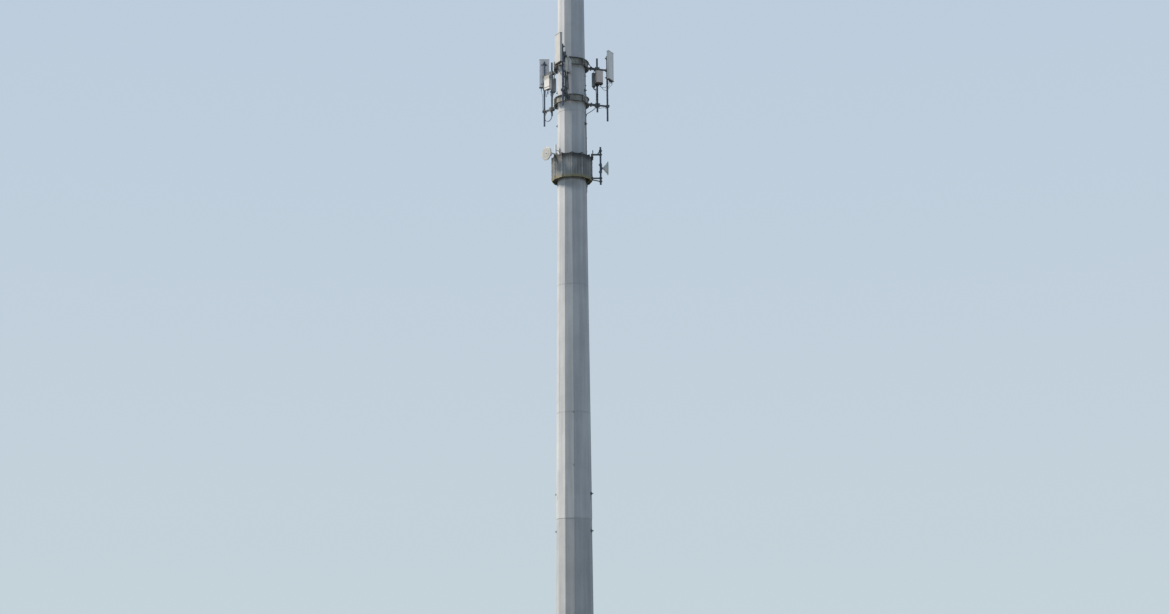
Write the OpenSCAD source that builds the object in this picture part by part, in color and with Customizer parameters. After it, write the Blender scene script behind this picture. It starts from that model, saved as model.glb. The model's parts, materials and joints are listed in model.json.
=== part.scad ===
/* [Shaft] */
// Height of the shaft above the ground
shaft_height = 35000; // [30000:500:37500]
// Width of the shaft at the ground, corner to opposite corner
foot_across = 1272; // [1200:4:1360]
// Width that the shaft loses over each metre of height
taper = 15; // [12:0.5:17]
// Steel thickness of the lower section
wall_lower = 10; // [8:1:14]
// Steel thickness of the middle section
wall_middle = 8; // [6:1:12]
// Steel thickness of the upper section
wall_upper = 6; // [5:1:9]
// Height of the lower slip joint's edge
low_joint_z = 6460; // [5500:20:8000]
// Height of the upper slip joint's edge
high_joint_z = 20630; // [20400:10:20660]
// Hidden overlap of each slip joint, in widths of the shaft
lap_widths = 1.5; // [1.3:0.05:1.7]

/* [Base plate] */
// Diameter of the base plate
base_plate_d = 1680; // [1620:10:1900]
// Thickness of the base plate
base_plate_t = 50; // [38:1:75]
// Distance of the anchor bolt circle from the base plate's edge
anchor_edge = 90; // [80:1:100]
// Number of anchor bolt holes
anchor_count = 16; // [12:4:24]
// Diameter of each anchor bolt hole
anchor_hole = 62; // [42:2:66]

/* [Access port] */
// Height of the middle of the hand hole near the foot
port_z = 1150; // [900:10:1600]
// Clear width of the hand hole
port_w = 170; // [130:5:190]
// Clear height of the hand hole
port_h = 430; // [350:10:520]
// Thickness of the hand hole's frame
port_frame_t = 12; // [8:1:20]
// How far the hand hole's frame stands out
port_proud = 32; // [20:1:45]
// Thickness of the cover plate
port_cover_t = 5; // [3:0.5:8]

/* [Head] */
// Thickness of the closing plate at the top
cap_t = 8; // [6:1:12]
// Depth of the closing plate's skirt
cap_skirt = 60; // [40:5:90]
// Length of the lightning rod
rod_length = 1200; // [900:50:1800]
// Diameter of the lightning rod
rod_d = 22; // [16:1:28]

/* [Jacking lugs] */
// Width of a jacking lug
lug_w = 70; // [50:2:90]
// Height of a jacking lug
lug_h = 90; // [70:2:120]
// How far a lug stands out of the shaft
lug_out = 42; // [30:1:60]
// Length of the pin that stands out of a lug
lug_pin = 38; // [20:1:50]
// Height of the upper lugs above a joint's edge
lug_above = 830; // [700:10:950]
// Depth of the lower lugs below a joint's edge
lug_below = 400; // [300:10:500]

/* [Ring mounts] */
// Height of the upper ring mount's middle
upper_ring_z = 22400; // [22300:10:22450]
// Height of the lower ring mount's middle
lower_ring_z = 21050; // [21000:10:21100]
// Height of a ring mount
ring_h = 240; // [180:5:280]
// Steel thickness of a ring mount's web
ring_t = 12; // [10:1:16]
// Thickness of a ring mount's flanges
ring_flange_t = 12; // [8:1:16]
// How far a ring mount's flanges stand out of its web
ring_flange_w = 44; // [34:1:50]
// Clear space between the shaft's corners and a ring mount
ring_clear = 74; // [66:1:84]
// Angle that one of the three ring segments spans
ring_span = 111; // [108:0.5:112]
// Diameter of the threaded rods that join the segments
ring_rod_d = 24; // [18:1:30]

/* [Sectors] */
// Direction of the right sector's arms
sector_az = 17; // [14:0.5:19]
// Distance from the shaft's axis to a radio pipe
radio_pipe_r = 955; // [900:5:990]
// Distance from the shaft's axis to an antenna pipe
antenna_pipe_r = 1330; // [1290:5:1450]
// Diameter of the mounting pipes
pipe_d = 66; // [48:1:70]
// Steel thickness of the mounting pipes
pipe_wall = 4; // [3:0.5:6]
// Length of a radio pipe above its upper arm
radio_pipe_up = 400; // [300:10:450]
// Length of a radio pipe below its lower arm
radio_pipe_down = 250; // [150:10:350]
// Length of an antenna pipe above its upper arm
antenna_pipe_up = 540; // [500:10:600]
// How much shorter the front sector's pipes stand above their upper arm
front_pipe_cut = 210; // [150:10:250]
// Length of an antenna pipe below its lower arm
antenna_pipe_down = 550; // [300:10:700]
// Width of an inner arm's square tube
inner_arm_w = 70; // [56:2:80]
// Width of an outer arm's square tube
outer_arm_w = 50; // [40:2:56]
// Steel thickness of the arms
arm_wall = 5; // [4:0.5:8]

/* [Panel antennas] */
// Height of a panel antenna
panel_h = 1080; // [1040:10:1150]
// Width of a panel antenna
panel_w = 370; // [320:5:400]
// Depth of a panel antenna
panel_depth = 100; // [80:5:130]
// Distance from a panel antenna's back to the axis of its pipe
panel_standoff = 82; // [76:1:100]
// How much further out the front panel antenna stands
front_panel_out = 30; // [0:5:50]
// Turn of the panels from the direction of their arms
panel_turn = -46; // [-60:1:-30]
// Height of a panel antenna's foot above the lower ring mount
panel_lift = 940; // [900:10:1000]

/* [Radio units] */
// Height of a radio unit
radio_h = 470; // [400:5:500]
// Width of a radio unit
radio_w = 260; // [220:5:280]
// Depth of a radio unit with its fins
radio_depth = 150; // [130:5:180]
// Drop from the upper ring mount's middle to the top of a radio unit
radio_drop = 100; // [80:5:140]
// Number of cooling fins on a radio unit
radio_fins = 9; // [6:1:12]
// Shift of the left and front radio units away from the shaft
radio_shift = 60; // [30:5:80]
// Shift of the right radio unit away from the shaft
right_radio_shift = 30; // [0:5:50]
// Height of a power box
power_h = 500; // [400:5:560]
// Width of a power box
power_w = 104; // [90:2:140]
// Depth of a power box, along the arm
power_depth = 120; // [90:2:130]
// Drop from the upper ring mount's middle to the top of the right power box
power_drop = 155; // [140:5:200]
// The same drop in the left sector
left_power_drop = 240; // [200:5:260]
// The same drop in the front sector
front_power_drop = 650; // [600:5:660]

/* [Collar] */
// Height of the collar's lower edge
collar_z = 18190; // [18100:10:18250]
// Height of the collar
collar_h = 830; // [700:10:880]
// Width of the collar, corner to opposite corner
collar_across = 1400; // [1360:10:1500]
// Steel thickness of the collar's panels and plates
collar_t = 8; // [5:1:12]
// Width of a collar rib
rib_w = 46; // [30:2:60]
// How far a collar rib stands out
rib_out = 14; // [8:1:20]
// Depth of the hollow curve in each panel's upper edge
scallop = 34; // [20:1:50]
// Depth of the upper closing plate below the collar's upper edge
collar_recess = 90; // [60:5:140]

/* [Dishes] */
// Diameter of the dishes
dish_d = 470; // [400:10:520]
// Depth of a dish's cone
dish_depth = 155; // [120:5:170]
// Depth of a dish's rim
dish_rim = 22; // [14:1:40]
// Distance from the shaft's axis to the right dish's pipe
dish_pipe_x = 998; // [960:2:1040]
// Height of the right dish's pipe
dish_pipe_h = 1360; // [1300:10:1500]
// Height of the right dish's middle above the collar's lower edge
right_dish_lift = 440; // [380:10:480]
// Height of the dish frame's upper arm above the collar
dish_arm_rise = 110; // [90:5:140]
// Width of the arms of the dish frame
dish_arm_w = 50; // [40:2:60]
// Direction that the left dish faces
left_dish_az = 222; // [215:1:228]
// Distance from the shaft's axis to the left dish's post
left_post_r = 616; // [608:2:618]
// Direction of the left dish's post
left_post_az = 204; // [200:1:208]
// Height of the left dish's post above the collar
left_post_h = 400; // [340:10:460]

/* [Cables] */
// Diameter of a feeder cable
feeder_d = 26; // [22:1:28]
// Space between two feeder cables in the run
feeder_space = 6; // [5:0.5:8]
// Direction of the cable run
cable_az = 9; // [8:0.5:10]
// Height of the cable port's middle
cable_port_z = 17850; // [17700:10:17900]
// Diameter of a jumper cable
jumper_d = 14; // [10:1:18]

/* [Hidden] */

sides = 12;
flat_turn = 360 / sides;
slip_gap = 0.3;
seat_gap = 0.3;
round_fn = 48;
small_fn = 24;
steel = [0.55, 0.60, 0.63];
dark_steel = [0.30, 0.33, 0.36];
pale_grey = [0.78, 0.78, 0.77];

right = 0;
left = 1;
front = 2;
feeder_count = 4;

// Side of its pipe on which a sector's radio unit hangs, and its shift away from the shaft
function radio_side(k) = k == right ? -1 : 1;
function radio_out(k) = k == right ? right_radio_shift : radio_shift;
// How far a sector's antenna pipe and radio pipe stand above their upper arm
function antenna_up(k) = antenna_pipe_up - (k == front ? front_pipe_cut : 0);
function radio_up(k) = radio_pipe_up - (k == front ? front_pipe_cut : 0);
function panel_out(k) = k == front ? front_panel_out : 0;
function power_top(k) = upper_ring_z - [power_drop, left_power_drop, front_power_drop][k];

// Width from corner to corner of a regular shaft polygon, from its width across flats
function corners(flats) = flats / cos(flat_turn / 2);
// Width from flat to flat, from its width across corners
function flats(across) = across * cos(flat_turn / 2);

function lower_across(z) = foot_across - taper * z / 1000;
function middle_across(z) = lower_across(z) + 2 * corners(wall_middle + slip_gap);
function upper_across(z) = middle_across(z) + 2 * corners(wall_upper + slip_gap);

low_lap_top = low_joint_z + lap_widths * lower_across(low_joint_z);
high_lap_top = high_joint_z + lap_widths * middle_across(high_joint_z);

ring_in = upper_across(lower_ring_z - ring_h / 2) / 2 + ring_clear;
ring_out = ring_in + ring_t;
pipe_r = pipe_d / 2;
bore_r = pipe_r + seat_gap;

collar_top = collar_z + collar_h;
dish_pipe_z = collar_z - 150;

// Solid frustum of the shaft's shape
module frustum(z0, z1, across0, across1) {
    translate([0, 0, z0])
        cylinder(h = z1 - z0, d1 = across0, d2 = across1, $fn = sides);
}

// Hollow tapered section of the shaft
module shell(z0, z1, across0, across1, wall) {
    inset = 2 * corners(wall);
    slope = (across0 - across1) / (z1 - z0);
    difference() {
        frustum(z0, z1, across0, across1);
        frustum(z0 - 1, z1 + 1, across0 + slope - inset, across1 - slope - inset);
    }
}

// Outline with two straight sides and two round ends, long along X
module slot_shape(length, width) {
    square([length - width, width], center = true);
    for (s = [-1, 1])
        translate([s * (length - width) / 2, 0])
            circle(d = width, $fn = round_fn);
}

// Rectangle with rounded corners, centred
module rounded(w, h, r) {
    square([w - 2 * r, h], center = true);
    square([w, h - 2 * r], center = true);
    for (x = [-1, 1], y = [-1, 1])
        translate([x * (w / 2 - r), y * (h / 2 - r)])
            circle(r = r, $fn = small_fn);
}

// Turns its children to a direction and moves them out to a distance and a height
module place(az, r, z) {
    rotate([0, 0, az])
        translate([r, 0, z])
            children();
}

module sector(k) {
    rotate([0, 0, sector_az + k * 120])
        children();
}

module base_plate() {
    color(steel)
        difference() {
            cylinder(d = base_plate_d, h = base_plate_t, $fn = 96);
            for (i = [0 : anchor_count - 1])
                place(i * 360 / anchor_count, base_plate_d / 2 - anchor_edge, -1)
                    cylinder(d = anchor_hole, h = base_plate_t + 2, $fn = small_fn);
        }
}

port_az = -flat_turn * 2.5;
port_face = flats(lower_across(port_z)) / 2;
port_depth = 40;

// Prism of the hand hole's outline, grown all round by a margin
module port_prism(margin, from, to) {
    place(port_az, 0, port_z)
        rotate([0, 90, 0])
            translate([0, 0, from])
                linear_extrude(to - from)
                    slot_shape(port_h + 2 * margin, port_w + 2 * margin);
}

module lower_section() {
    color(steel)
        difference() {
            shell(base_plate_t, low_lap_top, lower_across(base_plate_t), lower_across(low_lap_top),
                  wall_lower);
            port_prism(port_frame_t + seat_gap, port_face - 3 * port_depth, port_face + port_depth);
        }
}

module access_port_frame() {
    color(steel)
        difference() {
            port_prism(port_frame_t, port_face - port_depth, port_face + port_proud);
            port_prism(0, port_face - port_depth - 1, port_face + port_proud + 1);
        }
}

module access_cover() {
    color(steel)
        port_prism(port_frame_t - 2, port_face + port_proud, port_face + port_proud + port_cover_t);
}

cable_flat_az = flat_turn / 2;
cable_port_w = feeder_count * (feeder_d + feeder_space) + 36;
cable_port_h = 240;
cable_face = flats(middle_across(cable_port_z)) / 2;
cable_side = cable_face * tan(cable_az - cable_flat_az);

// Prism of the cable port's outline, grown all round by a margin
module cable_prism(margin, from, to) {
    rotate([0, 0, cable_flat_az])
        translate([0, cable_side, cable_port_z])
            rotate([0, 90, 0])
                translate([0, 0, from])
                    linear_extrude(to - from)
                        slot_shape(cable_port_h + 2 * margin, cable_port_w + 2 * margin);
}

cable_rim_t = 8;
cable_rim_out = 14;

module middle_section() {
    color(steel)
        difference() {
            shell(low_joint_z, high_lap_top, middle_across(low_joint_z), middle_across(high_lap_top),
                  wall_middle);
            cable_prism(cable_rim_t + seat_gap, cable_face - 60, cable_face + 60);
        }
}

module cable_port() {
    color(steel)
        difference() {
            cable_prism(cable_rim_t, cable_face - 20, cable_face + cable_rim_out);
            cable_prism(0, cable_face - 21, cable_face + cable_rim_out + 1);
        }
}

module upper_section() {
    color(steel)
        shell(high_joint_z, shaft_height, upper_across(high_joint_z), upper_across(shaft_height),
              wall_upper);
}

module top_cap() {
    skirt_z = shaft_height - cap_skirt;
    inside = upper_across(skirt_z) + 2 * corners(seat_gap);
    color(steel)
        difference() {
            translate([0, 0, skirt_z])
                cylinder(d = inside + 2 * corners(cap_t), h = cap_skirt + cap_t, $fn = sides);
            translate([0, 0, skirt_z - 1])
                cylinder(d = inside, h = cap_skirt + 1, $fn = sides);
        }
}

module lightning_rod() {
    foot_z = shaft_height + cap_t;
    socket_h = 90;
    color(dark_steel) {
        translate([0, 0, foot_z])
            cylinder(d = 6 * rod_d, h = 12, $fn = round_fn);
        translate([0, 0, foot_z])
            cylinder(d = 2 * rod_d, h = socket_h, $fn = small_fn);
        translate([0, 0, foot_z])
            cylinder(d = rod_d, h = rod_length - 2 * rod_d, $fn = small_fn);
        translate([0, 0, foot_z + rod_length - 2 * rod_d])
            cylinder(d1 = rod_d, d2 = 2, h = 2 * rod_d, $fn = small_fn);
    }
}

// One lug on the flat that faces az: a block with a bore through it and a short pin
module lug(az, z, across) {
    face = flats(across) / 2;
    lean = atan(taper * cos(flat_turn / 2) / 2000);
    rotate([0, 0, az])
        translate([face + seat_gap, 0, z])
            rotate([0, -lean, 0]) {
                difference() {
                    translate([lug_out / 2, 0, 0])
                        cube([lug_out, lug_w, lug_h], center = true);
                    translate([lug_out * 0.55, 0, -lug_h])
                        cylinder(d = lug_w * 0.4, h = 2 * lug_h, $fn = small_fn);
                }
                translate([lug_out, 0, 0])
                    rotate([0, 90, 0])
                        cylinder(d = lug_w * 0.45, h = lug_pin, $fn = small_fn);
            }
}

module jacking_lugs() {
    color(dark_steel)
        for (az = [-flat_turn / 2, 180 - flat_turn / 2]) {
            lug(az, low_joint_z + lug_above, middle_across(low_joint_z + lug_above));
            lug(az, low_joint_z - lug_below, lower_across(low_joint_z - lug_below));
            lug(az, high_joint_z + lug_above, upper_across(high_joint_z + lug_above));
            lug(az, high_joint_z - lug_below, middle_across(high_joint_z - lug_below));
        }
}

ear_w = ring_t + ring_flange_w + 12;
ear_t = 16;
ear_root = 4;
ear_share = 0.86;
shoe_w = 110;
shoe_share = 0.46;
rod_r = ring_in + ring_t + ring_flange_w * 0.55;

// Section of a ring segment: a web with a flange along each edge, standing outwards
module ring_section() {
    translate([ring_in, 0])
        square([ring_t, ring_h]);
    for (z = [0, ring_h - ring_flange_t])
        translate([ring_in, z])
            square([ring_t + ring_flange_w, ring_flange_t]);
}

// One ring segment: a rolled channel, an ear with rod holes at each end and a shoe on two flats
module ring_segment() {
    difference() {
        union() {
            rotate([0, 0, -ring_span / 2])
                rotate_extrude(angle = ring_span, $fn = 96)
                    ring_section();
            for (s = [-1, 1])
                rotate([0, 0, s * ring_span / 2])
                    translate([ring_in + ear_root, -ear_t / 2, ring_h * (1 - ear_share) / 2])
                        cube([ear_w - ear_root, ear_t, ring_h * ear_share]);
            for (i = [-1, 1])
                rotate([0, 0, flat_turn / 2 - sector_az + i * flat_turn])
                    translate([0, -shoe_w / 2, ring_h * (1 - shoe_share) / 2])
                        cube([ring_in + ring_t / 2, shoe_w, ring_h * shoe_share]);
        }
        for (s = [-1, 1], z = [0.28, 0.72])
            rotate([0, 0, s * ring_span / 2])
                translate([rod_r, 0, ring_h * z])
                    rotate([90, 0, 0])
                        cylinder(d = ring_rod_d + 2 * seat_gap, h = 3 * ear_t, center = true,
                                 $fn = small_fn);
    }
}

module ring(z) {
    z0 = z - ring_h / 2;
    color(dark_steel)
        difference() {
            for (k = [right, left, front])
                sector(k)
                    translate([0, 0, z0])
                        ring_segment();
            frustum(z0 - 1, z0 + ring_h + 1, upper_across(z0 - 1) + 2 * corners(seat_gap),
                    upper_across(z0 + ring_h + 1) + 2 * corners(seat_gap));
        }
}

module upper_ring() {
    ring(upper_ring_z);
}

module lower_ring() {
    ring(lower_ring_z);
}

rod_past = 36;

// Threaded rods across each gap between two segments
module ring_rods() {
    gap_angle = 120 - ring_span;
    half = rod_r * sin(gap_angle / 2) + ear_t / 2 + rod_past;
    color(dark_steel)
        for (k = [right, left, front], ring_z = [upper_ring_z, lower_ring_z], z = [-0.22, 0.22])
            sector(k)
                rotate([0, 0, 60])
                    translate([rod_r * cos(gap_angle / 2), 0, ring_z + z * ring_h])
                        rotate([90, 0, 0])
                            cylinder(d = ring_rod_d, h = 2 * half, center = true, $fn = small_fn);
}

flange_r = 720;
flange_w = 120;
flange_t = 30;
root_plate_t = 14;
root_plate_w = 150;
root_plate_h = 190;
radio_clamp = 150;
radio_clamp_w = 120;
antenna_clamp = 100;
antenna_clamp_w = 114;
jaw_gap = 10;
jaw_bolt = 16;

// Square tube lying along X
module square_tube(from, to, w) {
    translate([(from + to) / 2, 0, 0])
        difference() {
            cube([to - from, w, w], center = true);
            cube([to - from + 2, w - 2 * arm_wall, w - 2 * arm_wall], center = true);
        }
}

// Pipe clamp: two jaws with a gap at the pipe's middle, held together by four long bolts
module pipe_clamp(length, w, h) {
    for (s = [-1, 1])
        translate([s * (length + jaw_gap) / 4, 0, 0])
            cube([(length - jaw_gap) / 2, w, h], center = true);
    for (y = [-1, 1], z = [-1, 1])
        translate([0, y * (w / 2 - jaw_bolt), z * (h / 2 - jaw_bolt)])
            rotate([0, 90, 0])
                cylinder(d = jaw_bolt, h = length + 2 * jaw_bolt, center = true, $fn = small_fn);
}

// One arm: root plate on the ring, inner tube with a bolted flange, two pipe clamps and the outer tube
module arm() {
    difference() {
        union() {
            difference() {
                translate([(ring_out + root_plate_t) / 2, 0, 0])
                    cube([ring_out + root_plate_t, root_plate_w, root_plate_h], center = true);
                cylinder(r = ring_out + seat_gap, h = root_plate_h + 2, center = true, $fn = 96);
            }
            square_tube(ring_out + root_plate_t / 2, radio_pipe_r - radio_clamp / 2 + 1, inner_arm_w);
            translate([flange_r, 0, 0])
                cube([flange_t, flange_w, flange_w], center = true);
            translate([radio_pipe_r, 0, 0])
                pipe_clamp(radio_clamp, radio_clamp_w, radio_clamp * 0.86);
            square_tube(radio_pipe_r + radio_clamp / 2 - 1, antenna_pipe_r - antenna_clamp / 2 + 1,
                        outer_arm_w);
            translate([antenna_pipe_r, 0, 0])
                pipe_clamp(antenna_clamp, antenna_clamp_w, antenna_clamp * 0.8);
        }
        for (r = [radio_pipe_r, antenna_pipe_r])
            translate([r, 0, 0])
                cylinder(r = bore_r, h = 2 * radio_clamp, center = true, $fn = round_fn);
    }
}

module arms(k) {
    color(dark_steel)
        for (z = [upper_ring_z, lower_ring_z])
            sector(k)
                translate([0, 0, z])
                    arm();
}

// Upright pipe, open at both ends
module pipe(z0, z1) {
    translate([0, 0, z0])
        difference() {
            cylinder(d = pipe_d, h = z1 - z0, $fn = round_fn);
            translate([0, 0, -1])
                cylinder(d = pipe_d - 2 * pipe_wall, h = z1 - z0 + 2, $fn = round_fn);
        }
}

module radio_pipe(k) {
    color(dark_steel)
        sector(k)
            translate([radio_pipe_r, 0, 0])
                pipe(lower_ring_z - radio_pipe_down, upper_ring_z + radio_up(k));
}

module antenna_pipe(k) {
    color(dark_steel)
        sector(k)
            translate([antenna_pipe_r, 0, 0])
                pipe(lower_ring_z - antenna_pipe_down, upper_ring_z + antenna_up(k));
}

panel_z = lower_ring_z + panel_lift;
panel_round = 18;
panel_edge = 10;

// Frame on the antenna pipe's axis with X along the panel's facing direction
module panel_frame(k) {
    sector(k)
        translate([antenna_pipe_r, 0, 0])
            rotate([0, 0, panel_turn])
                children();
}

// Plan outline of a panel: a deep crowned front with round corners and a flatter back
module panel_outline(inset) {
    depth = panel_depth - 2 * inset;
    width = panel_w - 2 * inset;
    translate([panel_standoff + inset, 0])
        union() {
            translate([0, -width / 2 + panel_edge])
                square([depth - panel_round, width - 2 * panel_edge]);
            translate([panel_edge, -width / 2])
                square([depth - panel_round - panel_edge, width]);
            translate([0, -width / 2 + panel_round])
                square([depth, width - 2 * panel_round]);
            for (s = [-1, 1]) {
                translate([depth - panel_round, s * (width / 2 - panel_round)])
                    circle(r = panel_round, $fn = round_fn);
                translate([panel_edge, s * (width / 2 - panel_edge)])
                    circle(r = panel_edge, $fn = small_fn);
            }
        }
}

cap_band = 26;
cap_step = 5;
port_stub = 30;

module panel_antenna(k) {
    color(pale_grey)
        panel_frame(k)
            translate([panel_out(k), 0, panel_z]) {
                linear_extrude(cap_band)
                    panel_outline(0);
                translate([0, 0, cap_band])
                    linear_extrude(panel_h - 2 * cap_band)
                        panel_outline(cap_step);
                translate([0, 0, panel_h - cap_band])
                    linear_extrude(cap_band)
                        panel_outline(0);
                for (s = [-1.5, -0.5, 0.5, 1.5])
                    translate([panel_standoff + panel_depth / 2, s * panel_w / 5, -port_stub])
                        cylinder(d = 2 * jumper_d, h = port_stub + 1, $fn = small_fn);
            }
}

bracket_h = 44;
bracket_low = 130;
bracket_high = 90;
tongue_t = 14;
pad_t = 8;

// Pipe clamp with two tongues and a pad that reach the panel's back
module antenna_bracket(z, out) {
    back = panel_standoff + cap_step + out;
    translate([0, 0, z])
        difference() {
            union() {
                cube([1.5 * pipe_d, 1.5 * pipe_d, bracket_h], center = true);
                for (y = [-1, 1])
                    translate([0, y * pipe_d * 0.55 - tongue_t / 2, -bracket_h / 2])
                        cube([back, tongue_t, bracket_h]);
                translate([back - pad_t, -panel_w * 0.3, -bracket_h / 2 - 6])
                    cube([pad_t, panel_w * 0.6, bracket_h + 12]);
            }
            cylinder(r = bore_r, h = 2 * bracket_h, center = true, $fn = round_fn);
        }
}

module antenna_brackets() {
    color(dark_steel)
        for (k = [right, left, front])
            panel_frame(k) {
                antenna_bracket(panel_z + bracket_low, panel_out(k));
                antenna_bracket(upper_ring_z + antenna_up(k) - bracket_high, panel_out(k));
            }
}

radio_back = pipe_r + 24;
radio_top = upper_ring_z - radio_drop;
radio_margin = 14;
fin_t = 6;
fin_short = 18;
radio_core = 0.6;
socket_h = 22;
socket_d = 1.8 * jumper_d;

// Frame of a sector's radio unit: its foot's middle at the back face, with Y away from its pipe
module radio_frame(k) {
    sector(k)
        translate([radio_pipe_r + radio_out(k), radio_side(k) * radio_back, radio_top - radio_h])
            rotate([0, 0, radio_side(k) > 0 ? 0 : 180])
                children();
}

// Radio unit: a core box with a rounded plan, cooling fins along its outer face and sockets below
module radio_unit(k) {
    core = radio_depth * radio_core;
    fin_pitch = (radio_w - 2 * radio_margin - fin_t) / (radio_fins - 1);
    color(pale_grey)
        radio_frame(k) {
            translate([0, core / 2, 0])
                linear_extrude(radio_h)
                    rounded(radio_w, core, radio_margin - 2);
            for (i = [0 : radio_fins - 1])
                translate([-radio_w / 2 + radio_margin + i * fin_pitch, core - 1, fin_short])
                    cube([fin_t, radio_depth - core + 1, radio_h - 2 * fin_short]);
            for (i = [-1, 0, 1])
                translate([i * radio_w / 4, core / 2, -socket_h])
                    cylinder(d = socket_d, h = socket_h + 1, $fn = small_fn);
        }
}

unit_clamp_h = 36;
unit_clamp_ends = 80;
unit_clamp_w = 1.35 * pipe_d;
power_side = 20;
power_face = radio_pipe_r - pipe_r - 30;
power_x = power_face - power_depth / 2;

// Clamp round a radio pipe, joined to the piece that it carries
module unit_clamp(z) {
    translate([0, 0, z])
        difference() {
            union() {
                cube([unit_clamp_w, unit_clamp_w, unit_clamp_h], center = true);
                children();
            }
            cylinder(r = bore_r, h = 2 * unit_clamp_h, center = true, $fn = round_fn);
        }
}

// Clamps that carry the radio unit on one side of its pipe and the power box towards the shaft
module radio_brackets() {
    color(dark_steel)
        for (k = [right, left, front])
            sector(k)
                translate([radio_pipe_r, 0, 0]) {
                    for (z = [radio_top - unit_clamp_ends / 2, radio_top - radio_h + unit_clamp_ends / 2])
                        unit_clamp(z)
                            translate([-unit_clamp_w / 2, radio_side(k) > 0 ? 0 : -radio_back,
                                       -unit_clamp_h / 2])
                                cube([radio_out(k) + unit_clamp_w / 2 + radio_w / 4, radio_back,
                                      unit_clamp_h]);
                    for (z = [power_top(k) - unit_clamp_ends, power_top(k) - power_h + unit_clamp_ends / 2])
                        unit_clamp(z)
                            translate([power_face - radio_pipe_r, -unit_clamp_w / 2, -unit_clamp_h / 2])
                                cube([radio_pipe_r - power_face, unit_clamp_w, unit_clamp_h]);
                }
}

power_socket = 34;
power_socket_h = 20;

module power_box(k) {
    color(dark_steel)
        sector(k)
            translate([power_x, power_side, power_top(k) - power_h]) {
                linear_extrude(power_h)
                    rounded(power_depth, power_w, 10);
                for (s = [-1, 0, 1])
                    translate([s * power_socket, 0, -power_socket_h])
                        cylinder(d = feeder_d + 4, h = power_socket_h + 1, $fn = small_fn);
            }
}

panel_r = flats(collar_across) / 2;
panel_joint = 2;
collar_seat = 4;

// One collar panel: a flat plate between two ribs, its upper edge cut to a shallow hollow curve
module collar_panel() {
    half = (panel_r - collar_t) * tan(flat_turn / 2) - panel_joint / 2;
    arc_r = (half * half + scallop * scallop) / (2 * scallop);
    difference() {
        translate([panel_r - collar_t, -half, collar_z])
            cube([collar_t, 2 * half, collar_h]);
        translate([panel_r - 2 * collar_t, 0, collar_top + arc_r - scallop])
            rotate([0, 90, 0])
                cylinder(r = arc_r, h = 3 * collar_t, $fn = 96);
    }
}

module collar_panels() {
    color(steel)
        for (i = [0 : sides - 1])
            rotate([0, 0, (i + 0.5) * flat_turn])
                collar_panel();
}

rib_past = 6;
rib_tip = (panel_r + rib_out) / cos(flat_turn / 2);

// Plan outline of a rib: a strip bent over the corner where two panels meet
module rib_outline() {
    half = rib_w / 2;
    turn = flat_turn / 2;
    corner = collar_across / 2;
    back = corner - half * sin(turn);
    side = half * cos(turn);
    polygon([
        [back, -side], [corner, 0], [back, side],
        [back + rib_out * cos(turn), side + rib_out * sin(turn)],
        [rib_tip, 0],
        [back + rib_out * cos(turn), -side - rib_out * sin(turn)]
    ]);
}

// Ribs: bent strips that cover the joints between the panels
module collar_ribs() {
    color(steel)
        for (i = [0 : sides - 1])
            rotate([0, 0, i * flat_turn])
                translate([0, 0, collar_z - rib_past])
                    linear_extrude(collar_h + 2 * rib_past)
                        rib_outline();
}

feeder_pitch = feeder_d + feeder_space;
cable_notch_w = feeder_count * feeder_pitch + 50;
cable_notch_out = 3 * feeder_d;

// Plate between the shaft and the collar's panels, notched for the feeder cables
module collar_plate(z) {
    outside = collar_across - 2 * corners(collar_t) - 2 * corners(seat_gap);
    difference() {
        translate([0, 0, z])
            cylinder(d = outside, h = collar_t, $fn = sides);
        frustum(z - 1, z + collar_t + 1, middle_across(z - 1) + 2 * corners(seat_gap),
                middle_across(z + collar_t + 1) + 2 * corners(seat_gap));
        rotate([0, 0, cable_az])
            translate([0, -cable_notch_w / 2, z - 1])
                cube([middle_across(z) / 2 + cable_notch_out, cable_notch_w, collar_t + 2]);
    }
}

module collar_top_plate() {
    color(dark_steel)
        collar_plate(collar_top - collar_recess);
}

module collar_bottom_plate() {
    color(dark_steel)
        collar_plate(collar_z + collar_seat);
}

gusset_h = 150;
gusset_t = 12;
gusset_tip = 16;
gusset_inset = 18;

// Triangular gussets under the collar, welded to the shaft
module collar_gussets() {
    reach = panel_r - collar_t - gusset_inset;
    below = collar_z - gusset_h - 1;
    above = collar_z + collar_t;
    color(dark_steel)
        difference() {
            for (az = [-flat_turn / 2, flat_turn * 2.5, 180 - flat_turn / 2])
                place(az, 0, collar_z + collar_seat)
                    rotate([90, 0, 0])
                        linear_extrude(gusset_t, center = true)
                            polygon([
                                [0, 0], [reach, 0], [reach, -gusset_tip],
                                [flats(middle_across(collar_z)) / 2 + gusset_tip, -gusset_h], [0, -gusset_h]
                            ]);
            frustum(below, above, middle_across(below) + 2 * corners(seat_gap),
                    middle_across(above) + 2 * corners(seat_gap));
        }
}

dish_clamp = 90;
clamp_bar_h = 56;
post_t = 30;
frame_post_up = 150;
frame_post_down = 190;
knee_in = 160;
knee_rise = 140;
low_arm_rise = 80;
low_brace_drop = 20;
low_brace_end = 35;
dish_arm_top_z = collar_top + dish_arm_rise;
dish_arm_low_z = collar_z + low_arm_rise;
dish_in = rib_tip + seat_gap;

// Flat bar between two points of the frame's upright plane
module plane_bar(from, to, w, t) {
    along = [to[0] - from[0], to[1] - from[1]];
    translate([from[0], 0, from[1]])
        rotate([0, -atan2(along[1], along[0]), 0])
            translate([0, -t / 2, -w / 2])
                cube([norm(along), t, w]);
}

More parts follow.
